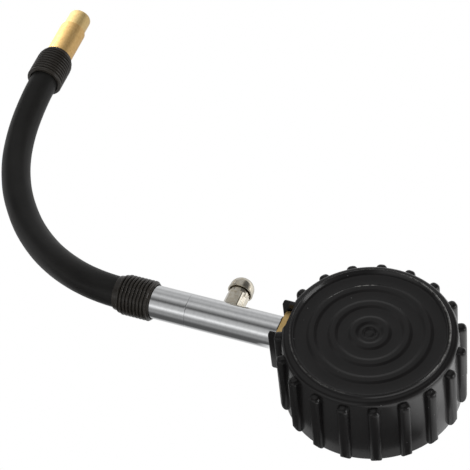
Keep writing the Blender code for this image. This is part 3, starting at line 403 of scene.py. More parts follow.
def ease_edges(piece, width, segments, angle):
    """Round every edge that is sharper than the angle with a Bevel, and apply it."""
    pick_only(piece)
    bevel = piece.modifiers.new("eased", "BEVEL")
    bevel.width = width * MM
    bevel.segments = segments
    bevel.limit_method = "ANGLE"
    bevel.angle_limit = math.radians(angle)
    bpy.ops.object.modifier_apply(modifier=bevel.name)
    return smooth(piece)


def carve(piece, tool, operation):
    """Cut the tool from the piece, or fuse it to the piece, and remove the tool."""
    pick_only(piece)
    step = piece.modifiers.new("carved", "BOOLEAN")
    step.operation = operation
    step.solver = "EXACT"
    step.object = tool
    bpy.ops.object.modifier_apply(modifier=step.name)
    bpy.data.objects.remove(tool)
    return piece


def box_tool(name, low, high, bevel=0.0, segments=3, chosen=None):
    """Add a cube between two corners; the edges that the test picks are rounded in edit mode."""
    start_clean()
    low = Vector(low) * MM
    high = Vector(high) * MM
    bpy.ops.mesh.primitive_cube_add(size=1.0, location=(low + high) / 2.0, scale=high - low)
    piece = bpy.context.object
    piece.name = name
    bpy.ops.object.transform_apply(location=True, rotation=True, scale=True)
    if bevel:
        choose_edges(piece, chosen)
        bpy.ops.mesh.bevel(offset=bevel * MM, segments=segments, affect="EDGES")
        bpy.ops.object.mode_set(mode="OBJECT")
    return piece


print("tools for turned pieces ready")

# %% [markdown]
# Finishes share a few effects, each made once as a node group. Every group reads object coordinates, which
# here are the gauge's own metres, and turns them to millimetres, so that a grain of 0.3 mm is 0.3 mm on every
# piece. Grain gives the fine pitting of moulded rubber or cast metal, specks give scattered dust, rubbed edges
# give a mask on raised edges, for wear and, where the edges are made paler, a painted highlight, and lathe
# lines give the fine rings that a cutting tool leaves.

# %% Shared effects
def new_group(name, inputs, outputs):
    tree = bpy.data.node_groups.new(name, "ShaderNodeTree")
    for label, kind, value in inputs:
        tree.interface.new_socket(name=label, in_out="INPUT", socket_type=kind).default_value = value
    for label, kind in outputs:
        tree.interface.new_socket(name=label, in_out="OUTPUT", socket_type=kind)
    return tree, tree.nodes.new("NodeGroupInput"), tree.nodes.new("NodeGroupOutput")


def millimetres(tree):
    """Object coordinates in millimetres, as a node output."""
    place = tree.nodes.new("ShaderNodeTexCoord").outputs["Object"]
    return vector_node(tree, "MULTIPLY", place, (1.0 / MM, 1.0 / MM, 1.0 / MM)).outputs[0]


def noise(tree, where, scale, detail, one_way=False):
    """Cloudy noise over a vector, or over a single number when it only changes one way."""
    node = tree.nodes.new("ShaderNodeTexNoise")
    if one_way:
        node.noise_dimensions = "1D"
    feed(tree, (node.inputs["W" if one_way else "Vector"], node.inputs["Scale"], node.inputs["Detail"]),
         (where, scale, detail))
    return node.outputs[0]


def build_grain():
    tree, source, target = new_group(
        "grain", [("Size", "NodeSocketFloat", 0.4)],
        [("Height", "NodeSocketFloat"), ("Patches", "NodeSocketFloat")])
    per_mm = calculated(tree, "DIVIDE", 1.0, source.outputs["Size"])
    link(tree, noise(tree, millimetres(tree), per_mm, 3.0), target.inputs["Height"])
    link(tree, noise(tree, millimetres(tree), 0.09, 4.0), target.inputs["Patches"])
    return tree


def build_specks():
    tree, source, target = new_group(
        "specks",
        [("Spacing", "NodeSocketFloat", 3.0), ("Radius", "NodeSocketFloat", 0.08)],
        [("Mask", "NodeSocketFloat")])
    cells = tree.nodes.new("ShaderNodeTexVoronoi")
    link(tree, millimetres(tree), cells.inputs["Vector"])
    link(tree, calculated(tree, "DIVIDE", 1.0, source.outputs["Spacing"]), cells.inputs["Scale"])
    link(tree, calculated(tree, "LESS_THAN", cells.outputs["Distance"], source.outputs["Radius"]),
         target.inputs["Mask"])
    return tree


def build_rubbed_edges():
    tree, source, target = new_group(
        "rubbed_and_sheen_edges",
        [("Start", "NodeSocketFloat", 0.52), ("End", "NodeSocketFloat", 0.60)],
        [("Mask", "NodeSocketFloat")])
    # Raised edges by pointiness: a mask for edge wear, and for a painted highlight where the edge colour is
    # paler.
    raised = tree.nodes.new("ShaderNodeNewGeometry").outputs["Pointiness"]
    edge_wear_and_sheen = ramp_between(tree, raised, source.outputs["Start"], source.outputs["End"], 0.0, 1.0)
    uneven = ramp_between(tree, noise(tree, millimetres(tree), 0.8, 4.0), 0.40, 0.62, 0.0, 1.0)
    link(tree, calculated(tree, "MULTIPLY", edge_wear_and_sheen, uneven), target.inputs["Mask"])
    return tree


def build_lathe_lines():
    tree, source, target = new_group(
        "lathe_lines",
        [("Along", "NodeSocketVector", (1.0, 0.0, 0.0)), ("Pitch", "NodeSocketFloat", 0.12)],
        [("Height", "NodeSocketFloat"), ("Streaks", "NodeSocketFloat")])
    depth = vector_node(tree, "DOT_PRODUCT", millimetres(tree), source.outputs["Along"]).outputs["Value"]
    per_mm = calculated(tree, "DIVIDE", 1.0, source.outputs["Pitch"])
    link(tree, noise(tree, depth, per_mm, 2.0, one_way=True), target.inputs["Height"])
    link(tree, noise(tree, depth, 0.9, 3.0, one_way=True), target.inputs["Streaks"])
    return tree


GRAIN = build_grain()
SPECKS = build_specks()
RUBBED_AND_SHEEN = build_rubbed_edges()
LATHE = build_lathe_lines()
print("shared effects:", len(bpy.data.node_groups))

# %% [markdown]
# A finish is a Principled shader with what the group gives plugged into its colour, roughness and bump. These
# helpers keep each finish short: one makes the material, one places a group in it, one blends two colours by
# a mask, and one turns a height into a bump.

# %% Tools for finishes
def new_finish(name, colour, roughness, metallic=0.0):
    finish = bpy.data.materials.new(name)
    finish.use_nodes = True
    tree = finish.node_tree
    shader = tree.nodes["Principled BSDF"]
    shader.inputs["Base Color"].default_value = (*colour, 1.0)
    shader.inputs["Roughness"].default_value = roughness
    shader.inputs["Metallic"].default_value = metallic
    return finish, tree, shader


def place_group(tree, group, **values):
    node = tree.nodes.new("ShaderNodeGroup")
    node.node_tree = group
    for label, value in values.items():
        node.inputs[label].default_value = value
    return node


def blend_colours(tree, mask, first, second):
    """Mix two colours, each a tuple or a node output, by a mask, and return the output."""
    mix = tree.nodes.new("ShaderNodeMix")
    mix.data_type = "RGBA"
    link(tree, mask, mix.inputs[0])
    for socket, colour in ((mix.inputs[6], first), (mix.inputs[7], second)):
        if isinstance(colour, tuple):
            socket.default_value = (*colour, 1.0)
        else:
            link(tree, colour, socket)
    return mix.outputs[2]


def add_bump(tree, shader, height, strength, depth):
    bump = tree.nodes.new("ShaderNodeBump")
    bump.inputs["Strength"].default_value = strength
    bump.inputs["Distance"].default_value = depth * MM
    link(tree, height, bump.inputs["Height"])
    link(tree, bump.outputs["Normal"], shader.inputs["Normal"])


print("tools for finishes ready")

# %% [markdown]
# Three kinds of black rubber show. The boot is moulded: nearly black, with a thin smooth skin, faint pits and
# a few dust specks. Its back has broken grey arcs on the rim and the outer ring, which are painted highlights,
# and the crests of its ribs are duller, because hands have worn their skin off. The hose is extruded and matt.
# The sleeves are a browner rubber, and their thin rings are pale, partly from wear and partly as a painted
# highlight.

# %% Rubber finishes
DUST_GREY = (0.4, 0.4, 0.4)
# Colour of the painted highlights on the boot's back.
HIGHLIGHT_GREY = (0.55, 0.54, 0.52)


def make_rubber(name, colour, worn_and_sheen_colour, roughness, grain_size, bump, speck_spacing, skin):
    finish, tree, shader = new_finish(name, colour, roughness)
    shader.inputs["Specular IOR Level"].default_value = 0.14
    shader.inputs["Coat Weight"].default_value = skin
    shader.inputs["Coat Roughness"].default_value = 0.16
    grain = place_group(tree, GRAIN, Size=grain_size)
    edge_wear_and_sheen = place_group(tree, RUBBED_AND_SHEEN)
    specks = place_group(tree, SPECKS, Spacing=speck_spacing, Radius=0.035)
    patchy = blend_colours(tree, ramp_between(tree, grain.outputs["Patches"], 0.35, 0.68, 0.0, 1.0),
                           colour, tuple(1.35 * part for part in colour))
    # Raised edges take the given edge colour: wear, and where it is paler than the rubber, a painted highlight.
    edged = blend_colours(tree, calculated(tree, "MULTIPLY", edge_wear_and_sheen.outputs["Mask"], 0.7), patchy, worn_and_sheen_colour)
    dusty = blend_colours(tree, calculated(tree, "MULTIPLY", specks.outputs["Mask"], 0.55), edged, DUST_GREY)
    link(tree, dusty, shader.inputs["Base Color"])
    link(tree, ramp_between(tree, grain.outputs["Patches"], 0.3, 0.7, roughness - 0.06, roughness + 0.06),
         shader.inputs["Roughness"])
    add_bump(tree, shader, grain.outputs["Height"], bump, 0.05)
    return finish


def from_axis(tree):
    """Object coordinates without their height, and how far they lie from the boot's middle line."""
    place = tree.nodes.new("ShaderNodeTexCoord").outputs["Object"]
    flat = vector_node(tree, "MULTIPLY", place, (1.0, 1.0, 0.0)).outputs[0]
    return flat, vector_node(tree, "LENGTH", flat).outputs["Value"]


def dull_crests(finish, inner_mm, outer_mm, left_over):
    """Take the smooth skin off the outermost part of the grip ribs, where hands and tables rub it dull."""
    tree = finish.node_tree
    skin = tree.nodes["Principled BSDF"].inputs["Coat Weight"]
    full = skin.default_value
    link(tree, ramp_between(tree, from_axis(tree)[1], inner_mm * MM, outer_mm * MM, full, left_over * full),
         skin)


def scuff_back(finish, highlights):
    """Painted highlights on the boot's back; each is (radius, half width, facing, half spread, strength)."""
    tree = finish.node_tree
    base = tree.nodes["Principled BSDF"].inputs["Base Color"]
    colour = base.links[0].from_socket
    flat, reach = from_axis(tree)
    place = tree.nodes.new("ShaderNodeTexCoord").outputs["Object"]
    broken = ramp_between(tree, noise(tree, place, 700.0, 2.0), 0.42, 0.58, 0.15, 1.0)
    for radius_mm, half_mm, facing_deg, spread_deg, strength in highlights:
        radius, half = radius_mm * MM, half_mm * MM
        facing, spread = math.radians(facing_deg), math.radians(spread_deg)
        aside = calculated(tree, "ABSOLUTE", calculated(tree, "SUBTRACT", reach, radius))
        stripe = ramp_between(tree, aside, half, 0.4 * half, 0.0, strength)
        middle = (math.cos(facing), math.sin(facing), 0.0)
        toward = vector_node(tree, "DOT_PRODUCT", flat, middle).outputs["Value"]
        window = ramp_between(tree, calculated(tree, "DIVIDE", toward, radius),
                              math.cos(spread), math.cos(0.7 * spread), 0.0, 1.0)
        mask = calculated(tree, "MULTIPLY", calculated(tree, "MULTIPLY", stripe, window), broken)
        colour = blend_colours(tree, mask, colour, HIGHLIGHT_GREY)
    link(tree, colour, base)


# The second colour of each rubber is its edge colour; where it is paler than the rubber it is partly a painted
# highlight.
BOOT_RUBBER = make_rubber("boot_rubber", (0.0125, 0.0115, 0.0117), (0.03, 0.03, 0.03), roughness=0.42,
                          grain_size=0.35, bump=0.30, speck_spacing=5.0, skin=0.5)
HOSE_RUBBER = make_rubber("hose_rubber", (0.023, 0.0223, 0.0214), (0.02, 0.02, 0.02), roughness=0.50,
                          grain_size=0.5, bump=0.15, speck_spacing=9.0, skin=0.10)
SLEEVE_RUBBER = make_rubber("sleeve_rubber", (0.044, 0.0385, 0.033), (0.11, 0.095, 0.079), roughness=0.34,
                            grain_size=0.4, bump=0.12, speck_spacing=9.0, skin=0.45)
SEAL_RUBBER = make_rubber("seal_rubber", (0.020, 0.020, 0.020), (0.05, 0.05, 0.05), roughness=0.60,
                          grain_size=0.4, bump=0.25, speck_spacing=9.0, skin=0.3)
dull_crests(BOOT_RUBBER, 37.6, 38.1, left_over=0.18)
# Painted highlights: broken grey arcs along the rim and the outer ring, on the sides where light glints.
scuff_back(BOOT_RUBBER, (
    (31.4, 0.45, 28.0, 62.0, 0.50),
    (31.4, 0.40, -125.0, 42.0, 0.20),
    (31.6, 0.45, 100.0, 45.0, 0.10),
    (24.0, 0.34, 113.0, 11.0, 1.0),
    (24.0, 0.32, 142.0, 8.0, 0.9),
))
print("rubber finishes ready")

# %% [markdown]
# The metals differ in how they were made. The stem is polished along its length. Brass is turned, so it has
# fine rings and a slightly brown tarnish where it isn't handled. Nickel plate on the bleed valve is warm and
# soft, and the steel and bronze inside are plain.

# %% Metal finishes
def make_metal(name, colour, tarnish, roughness, along, pitch, bump, metal=1.0):
    finish, tree, shader = new_finish(name, colour, roughness, metal)
    lines = place_group(tree, LATHE, Along=along, Pitch=pitch)
    grain = place_group(tree, GRAIN, Size=1.4)
    patches = ramp_between(tree, grain.outputs["Height"], 0.42, 0.66, 0.0, 0.8)
    link(tree, blend_colours(tree, patches, colour, tarnish), shader.inputs["Base Color"])
    link(tree, ramp_between(tree, lines.outputs["Streaks"], 0.3, 0.7, roughness - 0.05, roughness + 0.05),
         shader.inputs["Roughness"])
    add_bump(tree, shader, lines.outputs["Height"], bump, 0.02)
    return finish


UPRIGHT = (0.0, 0.0, 1.0)
ALONG_Y = (0.0, 1.0, 0.0)
CHUCK_ALONG = (-0.0593, 0.9982, 0.0)
STEM_METAL = make_metal("stem_metal", (0.82, 0.83, 0.84), (0.74, 0.75, 0.76), 0.09, (0.0, 0.7, 0.7), 0.35,
                        0.05)
CHUCK_BRASS = make_metal("chuck_brass", (0.92, 0.61, 0.25), (0.82, 0.52, 0.19), 0.46, CHUCK_ALONG, 0.25, 0.30,
                         metal=0.72)
NOSE_BRASS = make_metal("nose_brass", (0.96, 0.70, 0.31), (0.88, 0.62, 0.26), 0.40, CHUCK_ALONG, 0.25, 0.15,
                        metal=0.55)
BLOCK_BRASS = make_metal("block_brass", (0.88, 0.62, 0.27), (0.76, 0.51, 0.19), 0.36, ALONG_Y, 0.3, 0.25)
WORKS_BRASS = make_metal("works_brass", (0.70, 0.52, 0.25), (0.62, 0.44, 0.20), 0.32, (1.0, 0.0, 0.0), 0.3,
                         0.15)
NICKEL = make_metal("nickel_plate", (0.70, 0.66, 0.57), (0.60, 0.53, 0.41), 0.18, ALONG_Y, 0.3, 0.12)
STEEL = make_metal("case_steel", (0.55, 0.56, 0.58), (0.48, 0.49, 0.50), 0.36, UPRIGHT, 0.3, 0.15)
BRONZE = make_metal("spring_bronze", (0.52, 0.36, 0.18), (0.44, 0.29, 0.13), 0.36, UPRIGHT, 0.3, 0.15)
BEZEL_METAL = make_metal("bezel_metal", (0.72, 0.73, 0.75), (0.64, 0.65, 0.67), 0.20, UPRIGHT, 0.3, 0.05)
print("metal finishes ready")

# %% [markdown]
# The dial side lies on the table in the picture, but it is the working face, so it gets real finishes too: a
# satin white dial, black print, a black pointer and a clear plastic lens.

# %% Dial finishes
def make_paint(name, colour, shade, roughness):
    finish, tree, shader = new_finish(name, colour, roughness)
    grain = place_group(tree, GRAIN, Size=0.2)
    link(tree, blend_colours(tree, grain.outputs["Patches"], colour, shade), shader.inputs["Base Color"])
    add_bump(tree, shader, grain.outputs["Height"], 0.08, 0.02)
    return finish


def make_lens_finish():
    finish, tree, shader = new_finish("clear_lens", (0.97, 0.98, 0.98), 0.04)
    shader.inputs["Transmission Weight"].default_value = 1.0
    shader.inputs["IOR"].default_value = 1.46
    grain = place_group(tree, GRAIN, Size=6.0)
    link(tree, ramp_between(tree, grain.outputs["Patches"], 0.3, 0.7, 0.02, 0.07), shader.inputs["Roughness"])
    return finish


DIAL_WHITE = make_paint("dial_white", (0.86, 0.86, 0.84), (0.82, 0.82, 0.79), 0.45)
PRINT_BLACK = make_paint("print_black", (0.02, 0.02, 0.02), (0.03, 0.03, 0.03), 0.50)
POINTER_BLACK = make_paint("pointer_black", (0.018, 0.018, 0.018), (0.03, 0.03, 0.03), 0.38)
CLEAR_LENS = make_lens_finish()
print("dial finishes ready")

# %% [markdown]
# The hose is a smooth rubber hose 13.4 mm thick that leaves its sleeve level, sinks to the table in a wide
# bend and rises a little into the far sleeve. Its route is a short list of points, and a smooth curve through
# them gives a curve object with a round bevel, which is Blender's own way to make a hose.

# %% Route and hose
HOSE_R = 6.7
HOSE_ROUTE = (
    (-104.8, 0.0, 18.5),
    (-108.0, 0.0, 18.5),
    (-118.7, 0.9, 18.0),
    (-129.1, 3.4, 16.7),
    (-139.0, 7.4, 14.8),
    (-148.3, 12.4, 12.6),
    (-157.1, 18.3, 10.4),
    (-165.4, 24.9, 8.5),
    (-173.3, 32.2, 7.2),
    (-180.5, 40.2, 6.8),
    (-187.0, 48.8, 6.8),
    (-192.5, 58.1, 6.8),
    (-197.1, 67.9, 6.8),
    (-200.7, 78.1, 6.8),
    (-203.3, 88.6, 7.3),
    (-205.0, 99.2, 8.0),
    (-206.1, 109.9, 8.7),
    (-206.78, 119.69, 8.8),
    (-207.02, 123.69, 8.8),
)


def smooth_route(points, per_span):
    """Points along a Catmull-Rom curve through the given ones."""
    padded = [points[0] * 2 - points[1]] + points + [points[-1] * 2 - points[-2]]
    fine = []
    for index in range(1, len(padded) - 2):
        before, start, end, after = padded[index - 1:index + 3]
        for part in range(per_span):
            t = part / per_span
            spot = start * 2 + (end - before) * t
            spot += (before * 2 - start * 5 + end * 4 - after) * t ** 2
            spot += (start * 3 - before - end * 3 + after) * t ** 3
            fine.append(spot / 2)
    fine.append(points[-1])
    return fine


def make_hose():
    route = smooth_route([Vector(point) * MM for point in HOSE_ROUTE], 5)
    curve = bpy.data.curves.new("rubber_hose", "CURVE")
    curve.dimensions = "3D"
    curve.bevel_depth = HOSE_R * MM
    curve.bevel_resolution = 14
    curve.use_fill_caps = True
    spline = curve.splines.new("POLY")
    spline.points.add(len(route) - 1)
    for target, point in zip(spline.points, route):
        target.co = (*point, 1.0)
    spline.use_smooth = True
    curve.materials.append(HOSE_RUBBER)
    hose = bpy.data.objects.new("rubber_hose", curve)
    bpy.context.scene.collection.objects.link(hose)
    length = sum((after - before).length for before, after in zip(route, route[1:]))
    return hose, length


hose, hose_length = make_hose()
print("hose length in mm:", round(hose_length / MM, 1))

# %% [markdown]
# The boot is one rubber moulding: a cup whose back carries raised rings, a thin rim and a round shoulder,
# with 18 grip ribs round its wall and a collar round the stem. The cup is turned from its section, whose wall
# draws in towards the back, so that the moulding could leave its mould. A rib is a bar whose outer edges are
# bevelled round and which leans in with the wall. It is modelled once, copied to the other positions and
# fused to the wall by a Boolean, which leaves the crisp foot that a milled mould gives; extruded wall faces
# would have had to share the wall's own edges and come out boxy.

# %% Turn the boot and fuse its ribs to it
RIB_POSITIONS = 19
RIB_COUNT = 18
RIB_FIRST_DEG = -163.8
RIB_HALF = 2.35
RIB_OUTER_R = 38.3
RIB_BOTTOM_Z = 0.45
RIB_TOP_Z = 31.9
RIB_LEAN_DEG = 0.5
RIB_ROUND = 1.95
BOOT_STEPS = 190
FOOT_R = 36.5
SHOULDER_R = 35.0
FLOOR_Z = 33.75


def ring_points(centre):
    """Section of one raised ring, from its outer foot to its inner foot: a flat crest with gentle slopes."""
    slope = [(2.3, 0.0), (2.12, 0.02), (1.95, 0.08), (1.05, 0.46), (0.85, 0.52), (0.6, 0.55)]
    outside = [(centre + away, FLOOR_Z + rise) for away, rise in slope]
    return outside + [(centre - away, FLOOR_Z + rise) for away, rise in reversed(slope)]


def boot_section():
    section = [(29.5, 0.0), (36.1, 0.0), (36.4, 0.15), (FOOT_R, 0.5), (35.73, 16.0), (SHOULDER_R, 31.3)]
    section += [(34.93, 32.2), (34.75, 32.8), (34.45, 33.3), (34.0, 33.7), (33.5, 33.93)]
    section += [(33.0, 34.03), (32.4, 34.1), (32.1, 34.2), (31.95, 34.45), (31.88, 34.8)]
    section += [(31.72, 35.15), (31.5, 35.35), (31.25, 35.35), (31.0, 35.1), (30.7, 34.6), (30.3, 34.15)]
    section += [(29.8, FLOOR_Z + 0.1), (29.35, FLOOR_Z)]
    for centre in (22.95, 14.65, 6.55):
        section += ring_points(centre)
    section += [(3.9, FLOOR_Z), (3.6, FLOOR_Z + 0.08), (3.3, FLOOR_Z + 0.18), (3.0, FLOOR_Z + 0.14)]
    section += [(2.6, FLOOR_Z - 0.1), (2.3, FLOOR_Z - 0.45), (1.9, FLOOR_Z - 0.6), (1.6, FLOOR_Z - 0.6)]
    section += [(1.3, FLOOR_Z - 0.45), (0.9, FLOOR_Z - 0.35), (0.0, FLOOR_Z - 0.32)]
    section += [(0.0, 31.8), (31.6, 31.8), (31.9, 31.5), (31.9, 2.0), (29.5, 2.0), (29.5, 0.0)]
    return section


def make_grip_ribs():
    """One bar with rounded edges, leaning as the wall does, copied to every rib position and joined."""
    first = box_tool("grip_ribs", (33.0, -RIB_HALF, RIB_BOTTOM_Z), (RIB_OUTER_R, RIB_HALF, RIB_TOP_Z),
                     RIB_ROUND, 6,
                     lambda one, two: min(one.x, two.x) > RIB_OUTER_R - 0.1 or
                     (min(one.z, two.z) > RIB_TOP_Z - 0.1 and abs(one.x - two.x) > 1.0))
    bpy.ops.object.mode_set(mode="EDIT")
    bpy.ops.mesh.select_all(action="SELECT")
    bpy.ops.transform.rotate(value=math.radians(RIB_LEAN_DEG), orient_axis="Y",
                             center_override=Vector((RIB_OUTER_R, 0.0, 16.0)) * MM)
    bpy.ops.object.mode_set(mode="OBJECT")
    bars = [first] + [copied(first) for _ in range(RIB_COUNT - 1)]
    for number, bar in enumerate(bars):
        bar.rotation_euler = (0.0, 0.0, math.radians(RIB_FIRST_DEG + number * 360.0 / RIB_POSITIONS))
    joined(first, bars[1:])
    reach = [(math.hypot(corner.co.x, corner.co.y) / MM, corner.co.z / MM) for corner in first.data.vertices]
    low = max(radius for radius, height in reach if height < 4.0)
    high = max(radius for radius, height in reach if height > 28.0)
    print("ribs reach", round(low, 2), "mm low down and", round(high, 2), "mm near the shoulder")
    return first


def make_boot():
    boot = turned("moulded_boot", boot_section(), BOOT_STEPS)
    carve(boot, make_grip_ribs(), "UNION")
    return boot


boot = make_boot()
print("boot faces:", len(boot.data.polygons))

# %% [markdown]
# The collar is a saddle that stands out from the wall and is open at the back, so the brass shank shows in
# it. A block with eased edges is fused to the wall. A second block, rounded where the mould's inside corners
# are rounded, cuts the notch, and a third cuts the square hole for the shank. Blocks and Booleans suit it,
# because nearly all its faces are flat.

# %% Add the collar
COLLAR_END_X = -40.0
COLLAR_BACK_X = -33.1
COLLAR_FLOOR_Z = 9.8
COLLAR_TOP_Z = 29.2
NOTCH_HALF = 7.5
COLLAR_T = 2.3


def make_collar():
    half = NOTCH_HALF + COLLAR_T
    outside = box_tool("collar_outside", (COLLAR_END_X, -half, COLLAR_FLOOR_Z - COLLAR_T),
                       (-33.0, half, COLLAR_TOP_Z), 0.9, 3,
                       lambda one, two: min(one.x, two.x) < COLLAR_END_X + 0.1)
    carve(boot, outside, "UNION")
    notch = box_tool("notch", (COLLAR_END_X - 4.0, -NOTCH_HALF, COLLAR_FLOOR_Z),
                     (COLLAR_BACK_X, NOTCH_HALF, 45.0), 1.5, 4,
                     lambda one, two: max(one.z, two.z) < 10.0 or min(one.x, two.x) > COLLAR_BACK_X - 0.1)
    carve(boot, notch, "DIFFERENCE")
    hole_half = NOTCH_HALF - 0.05
    hole = box_tool("shank_hole", (COLLAR_END_X - 6.0, -hole_half, 11.0), (-25.0, hole_half, 26.0))
    carve(boot, hole, "DIFFERENCE")
    return smooth(boot, 38.0)


make_collar()
paint(BOOT_RUBBER, boot)
print("boot with collar:", len(boot.data.polygons), "faces")

# %% [markdown]
# A ribbed sleeve covers each end of the hose. On the real thing it is a rubber moulding, slipped over the
# joint to stiffen it. The near one is ringed from end to end and narrows at the hose. The far one starts with
# a plain collar on the brass, and ends in a thin lip round the hose. Each ring's section is a small arch, so
# that the light runs round it in a thin line, and the whole sleeve is turned from one section.

# %% Turn the two sleeves
RING_PITCH = 1.6
RING_COUNT = 9
RING_DEPTH = 0.85
STEM_Z = 18.5
TO_HOSE = (-1.0, 0.0, 0.0)


def arch(low, root_r, outer_r):
    """One ring in section: up its side, over its crown and down again."""
    shape = [(0.10, 0.0), (0.26, 0.55), (0.40, 0.88), (0.58, 1.0), (0.92, 1.0), (1.10, 0.88), (1.24, 0.55)]
    shape += [(1.40, 0.0)]
    return [(root_r + (outer_r - root_r) * height, low + along) for along, height in shape]


def narrowed(radius, from_mouth, thinnest):
    """The ringed end of a sleeve narrows towards its mouth, by up to 1 mm over its last 3.2 mm."""
    return max(radius - max(0.0, 1.0 - from_mouth / 3.2), thinnest)


def near_sleeve_section():
    outer_r = 8.6
    root_r = outer_r - RING_DEPTH
    section = [(7.4, 0.0), (7.65, 0.0), (root_r, 0.15), (root_r, 0.5)]
    for index in range(RING_COUNT):
        low = 0.6 + RING_PITCH * index
        left = 16.0 - low
        section += arch(low, narrowed(root_r, left, 7.4), narrowed(outer_r, left - 0.8, 7.6))
    section += [(7.4, 16.3), (7.35, 16.65), (7.25, 16.8), (7.1, 16.8), (7.0, 14.8)]
    section += [(7.0, 9.5), (5.5, 9.5), (5.5, 2.8), (7.4, 2.8), (7.4, 0.0)]
    return section


def far_sleeve_section():
    outer_r = 8.7
    root_r = outer_r - RING_DEPTH
    section = [(6.7, 1.5), (6.95, 1.5), (7.1, 1.65), (7.15, 2.1), (7.15, 2.9)]
    for index in range(RING_COUNT):
        low = 3.0 + RING_PITCH * index
        from_collar = low - 2.6
        section += arch(low, narrowed(root_r, from_collar, 7.2), narrowed(outer_r, from_collar + 0.8, 7.5))
    section += [(root_r, 17.45), (8.3, 17.65), (8.6, 17.95), (outer_r, 18.3), (outer_r, 18.8), (8.55, 19.15)]
    section += [(8.25, 19.35), (7.9, 19.4), (7.15, 19.4), (7.0, 19.2), (7.0, 12.1), (5.5, 12.1), (5.5, 5.4)]
    section += [(6.7, 5.4), (6.7, 1.5)]
    return section


CHUCK_DEG = 93.4
CHUCK_AXIS = Vector((math.cos(math.radians(CHUCK_DEG)), math.sin(math.radians(CHUCK_DEG)), 0.0))
CHUCK_START = Vector((-206.6, 116.7, 8.8))
MOUTH = CHUCK_START + CHUCK_AXIS * 19.4

near_sleeve = turned("ribbed_sleeve_near", near_sleeve_section(), 96, (-94.8, 0.0, STEM_Z), TO_HOSE)
far_sleeve = turned("ribbed_sleeve_far", far_sleeve_section(), 96, MOUTH, -CHUCK_AXIS)
for sleeve in (near_sleeve, far_sleeve):
    smooth(sleeve)
paint(SLEEVE_RUBBER, near_sleeve, far_sleeve)
print("sleeve faces:", len(near_sleeve.data.polygons), len(far_sleeve.data.polygons))

# %% [markdown]
# The stem is a bright tube in two parts that screw together; only a fine seam shows where they meet. Each
# part is turned with its spigot and socket, and a small chamfer on both sides of the seam catches the light.
# A second ring of points lies close to each chamfer. Smooth shading tilts the light on a long face towards
# its neighbours, and the extra ring keeps that to the last half millimetre, so that the mirrored bands run
# straight.

# %% Turn the stem and its coupling
STEM_R = 7.1
VALVE_X = -62.6


def make_stem():
    section = [(3.6, -7.5), (5.2, -7.5), (5.2, 0.0), (6.85, 0.0), (7.02, 0.08), (STEM_R, 0.25)]
    section += [(STEM_R, 0.6), (STEM_R, 39.9), (STEM_R, 40.19), (7.08, 40.24), (7.04, 40.26)]
    section += [(5.5, 40.26), (5.5, 32.05), (3.6, 32.05), (3.6, -7.5)]
    stem = turned("bright_stem", section, 128, (-38.5, 0.0, STEM_Z), TO_HOSE)
    bpy.ops.mesh.primitive_cylinder_add(vertices=48, radius=2.9 * MM, depth=7.5 * MM,
                                        location=Vector((VALVE_X, 5.25, STEM_Z)) * MM,
                                        rotation=(math.radians(90.0), 0.0, 0.0))
    carve(stem, bpy.context.object, "DIFFERENCE")
    return smooth(stem)


def make_coupling():
    end = 18.35
    section = [(2.6, -7.5), (5.2, -7.5), (5.2, -0.14), (7.04, -0.14), (7.08, -0.12), (STEM_R, -0.07)]
    section += [(STEM_R, 0.25), (STEM_R, end - 0.3), (STEM_R, end), (4.3, end), (4.3, end + 0.4)]
    section += [(5.2, end + 0.5), (4.3, end + 3.6), (5.2, end + 3.8), (4.3, end + 7.0), (2.6, end + 7.0)]
    section += [(2.6, -7.5)]
    return smooth(turned("stem_coupling", section, 128, (-78.95, 0.0, STEM_Z), TO_HOSE))


stem = make_stem()
coupling = make_coupling()
paint(STEM_METAL, stem, coupling)
print("stem and coupling turned")

# %% [markdown]
# The bleed valve is a small nickel-plated fitting. A six-sided column sits on the stem, and above it rides a
# mushroom button, hollow underneath, which lets air out when pressed. The column starts as a six-sided
# cylinder, is cut to the round of the stem and gets eased corners.

# %% Build the bleed valve
VALVE_SPOT = Vector((VALVE_X, 0.0, STEM_Z))


def make_column():
    start_clean()
    bpy.ops.mesh.primitive_cylinder_add(vertices=6, radius=8.6 / math.sqrt(3.0) * MM, depth=10.2 * MM,
                                        location=(0.0, 0.0, 8.1 * MM),
                                        rotation=(0.0, 0.0, math.radians(30.0)))
    column = bpy.context.object
    column.name = "valve_column"
    bpy.ops.object.transform_apply(location=True, rotation=True, scale=True)
    settle(column, VALVE_SPOT, ALONG_Y)
    ease_edges(column, 0.35, 3, 40.0)
    saddle = [(0.0, -10.0), (STEM_R + 0.05, -10.0), (STEM_R + 0.05, 10.0), (0.0, 10.0)]
    carve(column, turned("saddle", saddle, 96, VALVE_SPOT, (1.0, 0.0, 0.0)), "DIFFERENCE")
    neck = [(0.0, 12.0), (4.4, 12.0), (4.4, 15.6), (4.2, 15.8), (0.0, 15.8)]
    spigot = [(0.0, 3.0), (2.6, 3.0), (2.6, 9.0), (0.0, 9.0)]
    bore = [(0.0, 2.0), (1.1, 2.0), (1.1, 7.5), (2.6, 7.5), (2.6, 17.0), (0.0, 17.0)]
    carve(column, turned("neck", neck, 64, VALVE_SPOT, ALONG_Y), "UNION")
    carve(column, turned("spigot", spigot, 48, VALVE_SPOT, ALONG_Y), "UNION")
    carve(column, turned("bore", bore, 48, VALVE_SPOT, ALONG_Y), "DIFFERENCE")
    return smooth(column, 30.0)


